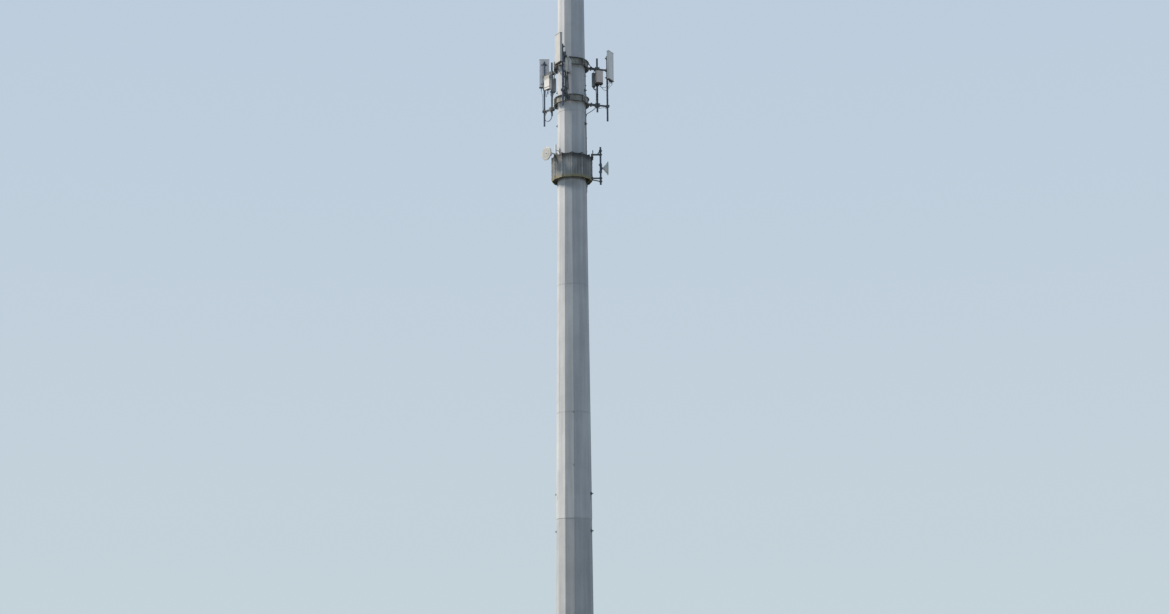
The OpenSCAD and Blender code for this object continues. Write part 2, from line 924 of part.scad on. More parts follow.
// Frame on the right: a post on the collar's edge, two braced arms and the clamps of the dish's pipe
module dish_frame() {
    w = dish_arm_w;
    color(dark_steel)
        difference() {
            union() {
                translate([dish_in, -w * 0.7, dish_arm_top_z - frame_post_down])
                    cube([post_t, w * 1.4, frame_post_up + frame_post_down]);
                translate([dish_in - w, -w * 0.8, collar_top + rib_past + seat_gap])
                    cube([w + 1, w * 1.6, dish_arm_rise - rib_past + w / 2]);
                plane_bar([dish_in + 1, dish_arm_top_z], [dish_pipe_x, dish_arm_top_z], w, w);
                plane_bar([dish_in + knee_in, dish_arm_top_z], [dish_pipe_x, dish_arm_top_z + knee_rise],
                          w * 0.7, w * 0.6);
                translate([dish_in, -w * 0.9, collar_z - rib_past])
                    cube([post_t / 2, w * 1.8, low_arm_rise + w + rib_past]);
                plane_bar([dish_in + 1, dish_arm_low_z], [dish_pipe_x, dish_arm_low_z], w * 0.9, w * 0.9);
                plane_bar([dish_in + 1, collar_z + low_brace_drop], [dish_pipe_x, collar_z - low_brace_end],
                          w * 0.6, w * 0.6);
                for (z = [dish_arm_top_z, dish_arm_top_z + knee_rise, dish_arm_low_z,
                          collar_z - low_brace_end])
                    translate([dish_pipe_x, 0, z])
                        cube([dish_clamp, dish_clamp, clamp_bar_h], center = true);
            }
            translate([dish_pipe_x, 0, dish_pipe_z])
                cylinder(r = bore_r, h = dish_pipe_h, $fn = round_fn);
        }
}

module dish_pipe() {
    color(dark_steel)
        translate([dish_pipe_x, 0, 0])
            pipe(dish_pipe_z, dish_pipe_z + dish_pipe_h);
}

hub_r = 42;
hub_h = 20;
rim_lip = 6;
cover_rise = 6;

// Dish with its axis along +X and its hub's back face at the origin: hub, straight cone, rim and cover
module dish() {
    r = dish_d / 2;
    mouth = hub_h + dish_depth;
    front_x = mouth + dish_rim;
    rotate([0, 90, 0])
        rotate_extrude($fn = round_fn)
            polygon([
                [0, 0], [hub_r, 0], [hub_r, hub_h], [r - rim_lip, mouth], [r, mouth], [r, front_x],
                [r - rim_lip, front_x], [r - 3 * rim_lip, front_x + cover_rise / 2],
                [0, front_x + cover_rise]
            ]);
}

mount_tall = 320;
mount_clamp_h = 64;
mount_plate_t = 16;
clamp_reach = 22;

// Tall mount on the dish's pipe: two clamps joined by an upright plate, with a boss for the dish's hub
module right_dish() {
    boss = 0.75 * pipe_d + clamp_reach;
    w = 1.5 * pipe_d;
    color(pale_grey)
        translate([dish_pipe_x, 0, collar_z + right_dish_lift]) {
            difference() {
                union() {
                    for (s = [-1, 1])
                        translate([0, 0, s * (mount_tall - mount_clamp_h) / 2])
                            cube([w, w, mount_clamp_h], center = true);
                    translate([w / 2 - mount_plate_t, -w / 2, -mount_tall / 2])
                        cube([mount_plate_t, w, mount_tall]);
                    rotate([0, 90, 0])
                        cylinder(r = hub_r * 0.9, h = boss, $fn = small_fn);
                }
                cylinder(r = bore_r, h = 2 * mount_tall, center = true, $fn = round_fn);
            }
            translate([boss, 0, 0])
                dish();
        }
}

left_reach = 238;
left_arm_w = 36;
left_arm_rise = 50;
left_plate_t = 12;
left_plate_w = 90;
left_dish_drop = 10;
post_base_t = 12;

// Left dish: a clamp on its post, an arm over the collar's edge and a hanging plate with the dish
module left_dish() {
    w = 1.4 * pipe_d;
    color(pale_grey)
        place(left_post_az, left_post_r, collar_top)
            rotate([0, 0, left_dish_az - left_post_az]) {
                difference() {
                    union() {
                        translate([0, 0, left_arm_rise])
                            cube([w, w, w], center = true);
                        translate([0, -left_arm_w / 2, left_arm_rise - left_arm_w / 2])
                            cube([left_reach, left_arm_w, left_arm_w]);
                    }
                    cylinder(r = bore_r, h = 4 * w, center = true, $fn = round_fn);
                }
                translate([left_reach - left_plate_t, -left_plate_w / 2,
                           -left_dish_drop - left_plate_w / 2])
                    cube([left_plate_t, left_plate_w,
                          left_dish_drop + left_arm_rise + (left_plate_w + left_arm_w) / 2]);
                translate([left_reach, 0, -left_dish_drop])
                    dish();
            }
}

stay_z = 190;
stay_w = 34;
stay_plate_h = 110;

// Post of the left dish on the collar's upper plate, with a stay to the shaft
module left_dish_post() {
    foot = collar_top - collar_recess + collar_t;
    face_az = 180 + flat_turn / 2;
    off = left_post_az - face_az;
    face_r = flats(middle_across(collar_top + stay_z - stay_plate_h / 2)) / 2 + seat_gap;
    color(pale_grey) {
        place(left_post_az, left_post_r, foot) {
            pipe(0, left_post_h + collar_recess - collar_t);
            difference() {
                translate([0, 0, post_base_t / 2])
                    cube([1.4 * pipe_d, 2 * pipe_d, post_base_t], center = true);
                translate([0, 0, -1])
                    cylinder(d = pipe_d - 1, h = 2 * post_base_t, $fn = round_fn);
            }
        }
        place(face_az, 0, collar_top + stay_z)
            translate([0, left_post_r * sin(off), 0]) {
                translate([face_r, -stay_w / 2, -stay_w / 2])
                    cube([left_post_r * cos(off) - pipe_r + 1 - face_r, stay_w, stay_w]);
                translate([face_r, -stay_w, -stay_plate_h / 2])
                    cube([post_base_t, 2 * stay_w, stay_plate_h]);
            }
    }
}

// Vector helpers for the cable sweep
function unit(v) = v / norm(v);
function tangent(p, i) = unit(p[min(i + 1, len(p) - 1)] - p[max(i - 1, 0)]);
// Sideways direction of a ring, level unless the cable stands upright
function side_dir(t) = abs(t[2]) > 0.999 ? [1, 0, 0] : unit(cross([0, 0, 1], t));
// Side direction carried along the path so that the tube never twists
function carried(p) = [for (i = 0, s = side_dir(tangent(p, 0)); i < len(p);
    i = i + 1, s = i < len(p) ? unit(s - (s * tangent(p, i)) * tangent(p, i)) : s) s];
function ring_points(c, t, s, d, n) = [for (j = [0 : n - 1])
    c + d / 2 * (cos(360 * j / n) * s + sin(360 * j / n) * cross(t, s))];

cable_sides = 6;

// Round tube swept along a list of points
module cable(p, d) {
    n = cable_sides;
    sides_dir = carried(p);
    rings = [for (i = [0 : len(p) - 1]) ring_points(p[i], tangent(p, i), sides_dir[i], d, n)];
    points = [for (r = rings) for (q = r) q];
    last = (len(p) - 1) * n;
    walls = [for (i = [0 : len(p) - 2], j = [0 : n - 1])
        [i * n + j, (i + 1) * n + j, (i + 1) * n + (j + 1) % n, i * n + (j + 1) % n]];
    polyhedron(points, concat(walls, [[for (j = [0 : n - 1]) j]],
                              [[for (j = [n - 1 : -1 : 0]) last + j]]));
}

// Smooth curve through hand-placed points, with a few steps between each two
function curve_at(a, b, c, d, t) = 0.5 * (2 * b + (c - a) * t + (2 * a - 5 * b + 4 * c - d) * t * t
    + (3 * b - a - 3 * c + d) * t * t * t);
function smooth(p, steps) = concat([for (i = [0 : len(p) - 2], s = [0 : steps - 1])
    curve_at(p[max(i - 1, 0)], p[i], p[i + 1], p[min(i + 2, len(p) - 1)], s / steps)], [p[len(p) - 1]]);

feeder_gap = 8;
tie_gap = 2;
arm_bottom = lower_ring_z - inner_arm_w / 2;
ring_top = upper_ring_z + ring_h / 2;
ring_path_r = ring_in + ring_t + ring_flange_w / 3;
ring_step = 6;
run_turn = cable_flat_az - sector_az;
over_ring = ring_top + feeder_d / 2 + tie_gap;

// Lower end of a power box's sockets
function box_low(k) = power_top(k) - power_h - power_socket_h;

// Distance of the feeder run's middle from the shaft's axis, and its points in the right sector's frame
function run_out(z) = flats(z > high_joint_z ? upper_across(z) : middle_across(z)) / 2 + feeder_d / 2
    + feeder_gap;
function run_side(i) = cable_side + (i - (feeder_count - 1) / 2) * feeder_pitch;
function run_point(i, z, out) = [
    (run_out(z) + out) * cos(run_turn) - run_side(i) * sin(run_turn),
    (run_out(z) + out) * sin(run_turn) + run_side(i) * cos(run_turn), z];
// Lowest part of a feeder: up from the cable port, through the collar and past the upper slip joint
function run_foot(i) = concat(
    [run_point(i, cable_port_z - 70, -feeder_d / 2 - feeder_gap - 100),
     run_point(i, cable_port_z - 20, -feeder_d / 2 - feeder_gap - 40),
     run_point(i, cable_port_z + 30, -feeder_gap), run_point(i, cable_port_z + 90, -4)],
    [for (s = [0 : 8]) run_point(i, cable_port_z + 150 + s * (high_joint_z - cable_port_z - 250) / 8, 0)]);
function run_mid(i, top) = let (low = high_joint_z + 40) [for (s = [0 : 7])
    run_point(i, low + s * (top - low) / 7, 0)];
// Points along the upper ring's top, from one direction to another, in the right sector's frame
function ring_path(from, to) = let (n = ceil(abs(to - from) / ring_step)) [for (j = [0 : n])
    let (a = from + (to - from) * j / n) [ring_path_r * cos(a), ring_path_r * sin(a), over_ring]];
// The same points, turned to another sector's frame
function turned(p, k) = [for (q = p) [
    q[0] * cos(120 * k) - q[1] * sin(120 * k), q[0] * sin(120 * k) + q[1] * cos(120 * k), q[2]]];
// Last part of a feeder: out along one side of the upper arm and down into the power box's top
function feeder_end(k, side) = let (
    beside = inner_arm_w / 2 + feeder_d, past = beside + 20, y = power_side + side * power_w / 4) smooth([
        [ring_path_r + 50, side * beside, over_ring], [flange_r - 50, side * past, upper_ring_z + 70],
        [flange_r + 30, side * past, upper_ring_z + 10], [power_x - 10, side * beside, upper_ring_z - 50],
        [power_x, (side * beside + y) / 2, power_top(right) + 80], [power_x, y, power_top(right) + 30],
        [power_x, y, power_top(k)]], 5);

// Feeder cables: out of the port, up the flat beside the shaft's right corner and on to each power box
module feeder_cables() {
    tied = radio_pipe_r - jaw_bolt;
    beside = -pipe_r - feeder_d / 2 - tie_gap;
    round_clamp = -radio_clamp_w / 2 - feeder_d / 2 - tie_gap;
    top = ring_top - 40;
    low_box = box_low(right);
    color([0.12, 0.13, 0.15])
        sector(right) {
            cable(concat(run_foot(0), smooth([
                run_point(0, high_joint_z + 20, 30), [ring_out + 160, -100, high_joint_z + 170],
                [flange_r + 130, -84, arm_bottom - 110], [tied, round_clamp, lower_ring_z - 70],
                [tied, round_clamp, lower_ring_z + 80], [tied, beside, lower_ring_z + 200],
                [tied, beside, low_box - 170], [power_x + 30, -10, low_box - 90],
                [power_x, power_side, low_box - 40], [power_x, power_side, low_box]], 5)), feeder_d);
            cable(concat(run_foot(1), run_mid(1, top), [run_point(1, over_ring, 26)], ring_path(-22, -104),
                turned(feeder_end(front, 1), front)), feeder_d);
            cable(concat(run_foot(2), run_mid(2, top), [run_point(2, over_ring, 10)],
                feeder_end(right, -1)), feeder_d);
            cable(concat(run_foot(3), run_mid(3, top), [run_point(3, over_ring, 26)], ring_path(8, 104),
                turned(feeder_end(left, -1), left)), feeder_d);
        }
}

jumper_low = radio_top - radio_h - socket_h;
jumper_sag = 115;
socket_y = radio_back + radio_depth * radio_core / 2;

// Lower end of one of the panel's sockets, in its sector's frame
function panel_socket(k, s) = let (
    x = panel_standoff + panel_out(k) + panel_depth / 2, y = s * panel_w / 5) [
    antenna_pipe_r + x * cos(panel_turn) - y * sin(panel_turn), x * sin(panel_turn) + y * cos(panel_turn),
    panel_z - port_stub];

// Hanging loop from one of the radio unit's outer sockets to a socket of the panel
function radio_jumper(k, i) = let (
    from = [radio_pipe_r + radio_out(k) + i * radio_w / 4, radio_side(k) * socket_y, jumper_low],
    to = panel_socket(k, i - 1.5), low = jumper_low - jumper_sag * (1 + 0.7 * i)) smooth([
        from, from - [0, 0, 60], [(2 * from[0] + to[0]) / 3, (2 * from[1] + to[1]) / 3, low],
        [(from[0] + 2 * to[0]) / 3, (from[1] + 2 * to[1]) / 3, low + 10], to - [0, 0, 70], to], 7);

// Short loop from the power box to the radio unit's inner socket
function power_jumper(k) = let (
    low = box_low(k), side = radio_side(k), x = radio_pipe_r + radio_out(k) - radio_w / 4,
    dip = k == front ? low + 10 : low - 150) smooth([
        [power_x - power_socket, power_side, low],
        [power_x - power_socket, power_side + side * 24, low - 46],
        [power_x - 10, side * (socket_y + 8), dip], [x - 30, side * (socket_y + 8), dip + 60],
        [x, side * socket_y, jumper_low - 70], [x, side * socket_y, jumper_low]], 6);

coil_r = 185;
coil_x = 1085;
cable_leave = 400;

// Spare cable, coiled once and a half below the left sector's lower arm
function coil() = [for (j = [0 : 40]) let (a = 140 + j * 16) [
    coil_x + coil_r * cos(a), 76 - j * 1.1, lower_ring_z - inner_arm_w - coil_r + coil_r * sin(a)]];

// Control cable: down the radio pipe, out below the lower arm and up the antenna pipe to the panel
function control_cable(k) = let (
    low = box_low(k), tied = pipe_r + jumper_d / 2 + tie_gap, slack = k == left ? 2 * tied : tied,
    x = power_x + power_socket, tie_z = k == front ? low - 34 : (low + lower_ring_z) / 2 + 90,
    past_radio = (radio_clamp_w + jumper_d) / 2 + 2 * tie_gap,
    past_antenna = (antenna_clamp_w + jumper_d) / 2 + 2 * tie_gap, to = panel_socket(k, 1.5),
    down = [[x, power_side, low], [x + 5, power_side - 4, low - 20], [radio_pipe_r - tied, 8, tie_z],
            [radio_pipe_r - tied, 16, min(tie_z - 20, lower_ring_z + 170)],
            [radio_pipe_r - 34, 0.8 * past_radio, lower_ring_z + 98],
            [radio_pipe_r - 30, past_radio, lower_ring_z + 50],
            [radio_pipe_r - 20, past_radio, lower_ring_z - 75]],
    along = [[coil_x - 20, 40, arm_bottom - 55], [coil_x + 110, 16, arm_bottom - 12]],
    up = [[antenna_pipe_r - 50, 50, arm_bottom - 24], [antenna_pipe_r, past_antenna, lower_ring_z - 60],
          [antenna_pipe_r, past_antenna, lower_ring_z + 60], [antenna_pipe_r, slack, lower_ring_z + 180],
          [antenna_pipe_r, slack, panel_z - cable_leave], [(antenna_pipe_r + to[0]) / 2, 46, panel_z - 220],
          [to[0], to[1], panel_z - 110], to])
    concat(smooth(down, 5), k == left ? coil() : smooth(along, 4), smooth(up, 5));

module jumper_cables() {
    color([0.10, 0.11, 0.12])
        for (k = [right, left, front])
            sector(k) {
                for (i = [0, 1])
                    cable(radio_jumper(k, i), jumper_d);
                cable(power_jumper(k), jumper_d);
                cable(control_cable(k), jumper_d);
            }
}

base_plate();
lower_section();
access_port_frame();
access_cover();
middle_section();
upper_section();
top_cap();
lightning_rod();
jacking_lugs();
upper_ring();
lower_ring();
ring_rods();
arms(right);  // right_arms
arms(left);  // left_arms
arms(front);  // front_arms
radio_pipe(right);  // right_radio_pipe
radio_pipe(left);  // left_radio_pipe
radio_pipe(front);  // front_radio_pipe
antenna_pipe(right);  // right_antenna_pipe
antenna_pipe(left);  // left_antenna_pipe
antenna_pipe(front);  // front_antenna_pipe
panel_antenna(right);  // right_panel_antenna
panel_antenna(left);  // left_panel_antenna
panel_antenna(front);  // front_panel_antenna
antenna_brackets();
radio_unit(right);  // right_radio_unit
radio_unit(left);  // left_radio_unit
radio_unit(front);  // front_radio_unit
radio_brackets();
power_box(right);  // right_power_box
power_box(left);  // left_power_box
power_box(front);  // front_power_box
collar_panels();
collar_ribs();
collar_top_plate();
collar_bottom_plate();
collar_gussets();
dish_frame();
dish_pipe();
right_dish();
left_dish();
left_dish_post();
cable_port();
feeder_cables();
jumper_cables();
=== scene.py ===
import json
import math
from itertools import product

import bmesh
import bpy
from mathutils import Matrix, Vector


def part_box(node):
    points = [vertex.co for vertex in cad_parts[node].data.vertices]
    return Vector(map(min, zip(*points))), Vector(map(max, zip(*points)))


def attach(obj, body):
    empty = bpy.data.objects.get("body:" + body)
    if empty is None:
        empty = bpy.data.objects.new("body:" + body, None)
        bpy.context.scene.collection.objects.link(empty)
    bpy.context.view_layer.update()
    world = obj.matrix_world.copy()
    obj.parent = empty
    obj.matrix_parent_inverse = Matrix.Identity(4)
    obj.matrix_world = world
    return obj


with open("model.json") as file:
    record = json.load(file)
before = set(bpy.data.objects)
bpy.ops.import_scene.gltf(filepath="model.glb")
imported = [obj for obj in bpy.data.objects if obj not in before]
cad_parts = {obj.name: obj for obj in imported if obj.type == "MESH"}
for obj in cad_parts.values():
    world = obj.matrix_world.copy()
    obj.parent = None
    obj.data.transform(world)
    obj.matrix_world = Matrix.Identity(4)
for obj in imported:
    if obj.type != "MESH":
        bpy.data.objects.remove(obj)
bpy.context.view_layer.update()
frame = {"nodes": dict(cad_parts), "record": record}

nodes = frame["nodes"]
print("frame loaded:", len(nodes), "nodes")

# Camera: stands on the ground in front of the pole and looks up at it
cameraSettings = {
    "eyeHeight": 1.6,          # metres above the ground
    "distance": 53.6,          # metres from the pole's axis
    "pitch": 12.7,             # degrees above level
    "yaw": 0.424,              # degrees to the right of the pole
    "roll": 0.47,              # degrees that the picture leans
    "focalPixels": 1607.0,     # focal length in pixels of the picture
    "pictureWidth": 1169.0,
    "sensor": 36.0,
    "farEdge": 1000.0,         # metres that it can see
}


def addCamera():
    s = cameraSettings
    pitch, yaw, roll = (math.radians(s[k]) for k in ("pitch", "yaw", "roll"))
    ahead = Vector((math.sin(yaw) * math.cos(pitch), math.cos(yaw) * math.cos(pitch), math.sin(pitch)))
    level = Vector((math.cos(yaw), -math.sin(yaw), 0.0))
    above = level.cross(ahead)
    rightWay = level * math.cos(roll) - above * math.sin(roll)
    upWay = above * math.cos(roll) + level * math.sin(roll)
    lens = bpy.data.cameras.new("camera")
    lens.sensor_fit = "HORIZONTAL"
    lens.sensor_width = s["sensor"]
    lens.lens = s["focalPixels"] / s["pictureWidth"] * s["sensor"]
    lens.clip_end = s["farEdge"]
    camera = bpy.data.objects.new("camera", lens)
    turn = Matrix((rightWay, upWay, -ahead)).transposed().to_4x4()
    camera.matrix_world = Matrix.Translation((0.0, -s["distance"], s["eyeHeight"])) @ turn
    bpy.context.scene.collection.objects.link(camera)
    bpy.context.scene.camera = camera


addCamera()
bpy.context.scene.view_settings.view_transform = "Standard"
print("camera placed")


# One node of a tree; each of its inputs is a constant or the socket that feeds it
def addNode(tree, kind, inputs=None, **settings):
    node = tree.nodes.new(kind)
    for key, value in settings.items():
        setattr(node, key, value)
    for key, value in (inputs or {}).items():
        if isinstance(value, bpy.types.NodeSocket):
            tree.links.new(value, node.inputs[key])
        else:
            node.inputs[key].default_value = value
    return node


def heightOf(tree, where):
    return addNode(tree, "ShaderNodeSeparateXYZ", {"Vector": where}).outputs["Z"]


def combine(tree, operation, a, b=0.0):
    return addNode(tree, "ShaderNodeMath", {0: a, 1: b}, operation=operation).outputs[0]


def mixColours(tree, factor, a, b):
    sides = {key: (*side, 1.0) if isinstance(side, tuple) else side for key, side in (("A", a), ("B", b))}
    return addNode(tree, "ShaderNodeMix", {"Factor": factor, **sides}, data_type="RGBA").outputs["Result"]


# Light and surroundings: one soft key from the upper left, pale blue-grey all round, pale floor
lightSettings = {
    "keyAzimuth": 173.0,       # degrees from +X
    "keyHeight": 46.0,         # degrees above level
    "keyStrength": 4.7,
    "keyColour": (1.0, 0.90, 0.755),
    "keySoftness": 15.0,       # degrees across
    "fillColour": (0.335, 0.44, 0.565),
    "backdropLow": (0.556, 0.648, 0.702),
    "backdropHigh": (0.507, 0.608, 0.722),
    "backdropSpan": (0.03, 0.38),   # share of straight up at which the two colours lie
    "floorColour": (0.50, 0.53, 0.55),
    "floorBounce": (0.22, 0.23, 0.22),
    "floorRoughness": 0.9,
    "floorSpecular": 0.1,
    "floorRadius": 130.0,
    "floorSides": 96,
}


def addKeyLight():
    s = lightSettings
    lamp = bpy.data.lights.new("key", "SUN")
    lamp.energy = s["keyStrength"]
    lamp.color = s["keyColour"]
    lamp.angle = math.radians(s["keySoftness"])
    key = bpy.data.objects.new("key", lamp)
    azimuth, height = math.radians(s["keyAzimuth"]), math.radians(s["keyHeight"])
    level = math.cos(height)
    towards = Vector((math.cos(azimuth) * level, math.sin(azimuth) * level, math.sin(height)))
    key.rotation_euler = towards.to_track_quat("Z", "Y").to_euler()
    bpy.context.scene.collection.objects.link(key)


# The camera, mirrors and glass see the backdrop; the fill lights everything else
def addSurroundings():
    s = lightSettings
    world = bpy.data.worlds.new("surroundings")
    bpy.context.scene.world = world
    world.use_nodes = True
    tree = world.node_tree
    tree.nodes.clear()
    spot = addNode(tree, "ShaderNodeTexCoord").outputs["Generated"]
    low, high = s["backdropSpan"]
    share = addNode(tree, "ShaderNodeMapRange", {
        "Value": heightOf(tree, spot), "From Min": low, "From Max": high})
    sky = mixColours(tree, share.outputs["Result"], s["backdropLow"], s["backdropHigh"])
    path = addNode(tree, "ShaderNodeLightPath").outputs
    seen = combine(tree, "MAXIMUM", path["Is Camera Ray"], path["Is Glossy Ray"])
    seen = combine(tree, "MAXIMUM", seen, path["Is Transmission Ray"])
    fill = addNode(tree, "ShaderNodeBackground", {"Color": (*s["fillColour"], 1.0)})
    backdrop = addNode(tree, "ShaderNodeBackground", {"Color": sky})
    mix = addNode(tree, "ShaderNodeMixShader", {0: seen, 1: fill.outputs[0], 2: backdrop.outputs[0]})
    addNode(tree, "ShaderNodeOutputWorld", {"Surface": mix.outputs[0]})


def addFloor():
    s = lightSettings
    mesh = bpy.data.meshes.new("floor")
    shape = bmesh.new()
    bmesh.ops.create_circle(shape, cap_ends=True, segments=s["floorSides"], radius=s["floorRadius"])
    shape.to_mesh(mesh)
    shape.free()
    floor = bpy.data.objects.new("floor", mesh)
    bpy.context.scene.collection.objects.link(floor)
    material = bpy.data.materials.new("floor")
    material.use_nodes = True
    tree = material.node_tree
    shader = tree.nodes["Principled BSDF"]
    shader.inputs["Roughness"].default_value = s["floorRoughness"]
    shader.inputs["Specular IOR Level"].default_value = s["floorSpecular"]
    seen = addNode(tree, "ShaderNodeLightPath").outputs["Is Camera Ray"]
    tree.links.new(mixColours(tree, seen, s["floorBounce"], s["floorColour"]), shader.inputs["Base Color"])
    mesh.materials.append(material)


addKeyLight()
addSurroundings()
addFloor()
print("light, surroundings and floor ready")

# Sizes of the tower that the fittings are placed by, in metres and degrees, as the frame has them
tower = {
    "sides": 12, "footAcross": 1.272, "taper": 0.015, "lowJoint": 6.46, "highJoint": 20.63, "top": 35.0,
    "middleAdd": 0.01718, "upperAdd": 0.01304,
    "upperRing": 22.4, "lowerRing": 21.05, "ringOut": 0.580, "rodRadius": 0.6042, "gapHalf": 4.5,
    "sectorTurn": 17.0, "radioPipe": 0.955, "antennaPipe": 1.330, "pipeRadius": 0.033, "flange": 0.720,
    "rootFace": 0.594, "panelFoot": 21.99, "panelHigh": 1.08, "panelWide": 0.37, "panelDeep": 0.10,
    "panelBacks": (0.082, 0.082, 0.112), "panelTurn": -46.0,
    "radioTop": 22.3, "radioHigh": 0.47, "radioWide": 0.26, "radioDeep": 0.15, "radioBack": 0.057,
    "radioSides": (-1, 1, 1), "radioShifts": (0.030, 0.060, 0.060), "powerX": 0.832, "powerSide": 0.020,
    "powerHigh": 0.50, "powerWide": 0.104, "powerDrops": (0.155, 0.240, 0.650),
    "collarLow": 18.19, "collarHigh": 0.83, "collarFlat": 0.6762, "ribOut": 0.014, "scallop": 0.034,
    "dishPipe": 0.998, "dishRadius": 0.235,
}
sectorNames = ("right", "left", "front")
sectors = range(len(sectorNames))
sectorPitch = 360.0 / len(sectorNames)
rings = (tower["upperRing"], tower["lowerRing"])
bothWays = (-1, 1)
flatTurn = 360.0 / tower["sides"]
corners = [flatTurn * i for i in range(tower["sides"])]
flats = [azimuth + flatTurn / 2 for azimuth in corners]


def acrossAt(z):
    across = tower["footAcross"] - tower["taper"] * z
    across += tower["middleAdd"] if z > tower["lowJoint"] else 0.0
    return across + (tower["upperAdd"] if z > tower["highJoint"] else 0.0)


def flatAt(z):
    return acrossAt(z) * math.cos(math.radians(flatTurn / 2)) / 2


def polar(radius, azimuth, z):
    a = math.radians(azimuth)
    return Vector((radius * math.cos(a), radius * math.sin(a), z))


def away(azimuth):
    return polar(1.0, azimuth, 0.0)


def turnedBy(x, y, z, azimuth):
    return Matrix.Rotation(math.radians(azimuth), 3, "Z") @ Vector((x, y, z))


def sectorAzimuth(k):
    return tower["sectorTurn"] + sectorPitch * k


def panelAzimuth(k):
    return sectorAzimuth(k) + tower["panelTurn"]


def radioX(k):
    return tower["radioPipe"] + tower["radioShifts"][k]


def powerTop(k):
    return tower["upperRing"] - tower["powerDrops"][k]


# Building blocks of the materials
def noiseAt(tree, where, scale, stretch=(1.0, 1.0, 1.0), detail=4.0):
    mapping = addNode(tree, "ShaderNodeMapping", {
        "Vector": where, "Scale": tuple(scale * s for s in stretch)}).outputs["Vector"]
    return addNode(tree, "ShaderNodeTexNoise", {
        "Vector": mapping, "Scale": 1.0, "Detail": detail, "Roughness": 0.6}).outputs["Fac"]


def cellsAt(tree, where, scale):
    cells = addNode(tree, "ShaderNodeTexVoronoi", {"Vector": where, "Scale": scale}).outputs["Color"]
    return addNode(tree, "ShaderNodeSeparateColor", {"Color": cells}).outputs["Red"]


# Value that runs smoothly from one result to the other between two edges
def remap(tree, value, edges, results):
    keys = ("From Min", "From Max", "To Min", "To Max")
    inputs = {"Value": value, **dict(zip(keys, (*edges, *results)))}
    return addNode(tree, "ShaderNodeMapRange", inputs, interpolation_type="SMOOTHSTEP").outputs["Result"]


# Colour that runs over into a tint in the same way
def tinted(tree, colour, tint, value, edges, results):
    return mixColours(tree, remap(tree, value, edges, results), colour, tint)


def brightened(tree, colour, amount):
    return addNode(tree, "ShaderNodeHueSaturation", {"Color": colour, "Value": amount}).outputs["Color"]


def vectorMath(tree, operation, a, b=(0.0, 0.0, 0.0)):
    return addNode(tree, "ShaderNodeVectorMath", {0: a, 1: b}, operation=operation).outputs


def facing(tree, normal, direction):
    return vectorMath(tree, "DOT_PRODUCT", normal, tuple(direction))["Value"]


# Height with a ragged edge: noise lifts or lowers it
def raggedHeight(tree, where, look, operation):
    noise = noiseAt(tree, where, look["raggedSize"], (1.0, 1.0, look["raggedRun"]))
    lift = combine(tree, "MULTIPLY", noise, look["raggedHigh"])
    return combine(tree, operation, heightOf(tree, where), lift)


# Grey value that follows the azimuth a face looks in; stops are (degrees from 0 to 360, value)
def byAzimuth(tree, normal, stops):
    level = addNode(tree, "ShaderNodeSeparateXYZ", {"Vector": normal}).outputs
    turns = combine(tree, "DIVIDE", combine(tree, "ARCTAN2", level["Y"], level["X"]), 2.0 * math.pi)
    share = combine(tree, "FRACT", combine(tree, "ADD", turns, 1.0))
    ramp = addNode(tree, "ShaderNodeValToRGB", {"Fac": share})
    while len(ramp.color_ramp.elements) < len(stops):
        ramp.color_ramp.elements.new(0.5)
    for stop, (degrees, value) in zip(ramp.color_ramp.elements, stops):
        stop.position = degrees / 360.0
        stop.color = (value, value, value, 1.0)
    return ramp.outputs["Color"]


# Wear that all finishes start from
plainWear = {
    "metallic": 0.0, "specular": 0.5, "roughness": 0.6, "roughSwing": 0.08, "roughEdges": (0.3, 0.7),
    "roughFiner": 4.0,         # how much finer the rough patches are than the blotches
    "blotch": 3.0, "streak": 12.0, "streakRun": 0.12, "blotchShare": 0.45, "streakShare": 0.55,
    "blendEdges": (0.36, 0.64), "grain": 300.0, "grainDepth": 0.03,
    "stainSize": 5.0, "stainRun": 0.5, "stainDepth": 0.35, "stainEdges": (0.56, 0.74), "fineDetail": 6.0,
    "bump": 0.25, "bumpScale": 140.0, "bumpHeight": 0.002,
}


# Look of one finish: its dark, light and stain colours, and what it changes of the plain wear
def wear(dark, light, stain, **changes):
    return {**plainWear, "dark": dark, "light": light, "stain": stain, **changes}


# Colour that runs between dark and light with blotches, long streaks, fine grain and stains
def wornColour(tree, where, look):
    blotch = combine(tree, "MULTIPLY", noiseAt(tree, where, look["blotch"]), look["blotchShare"])
    streak = noiseAt(tree, where, look["streak"], (1.0, 1.0, look["streakRun"]))
    mixed = combine(tree, "ADD", blotch, combine(tree, "MULTIPLY", streak, look["streakShare"]))
    colour = tinted(tree, look["dark"], look["light"], mixed, look["blendEdges"], (0.0, 1.0))
    depth = look["grainDepth"]
    grain = remap(tree, cellsAt(tree, where, look["grain"]), (0.0, 1.0), (1.0 - depth, 1.0 + depth))
    colour = brightened(tree, colour, grain)
    stain = noiseAt(tree, where, look["stainSize"], (1.0, 1.0, look["stainRun"]), look["fineDetail"])
    return tinted(tree, colour, look["stain"], stain, look["stainEdges"], (0.0, look["stainDepth"]))


madeMaterials = {}


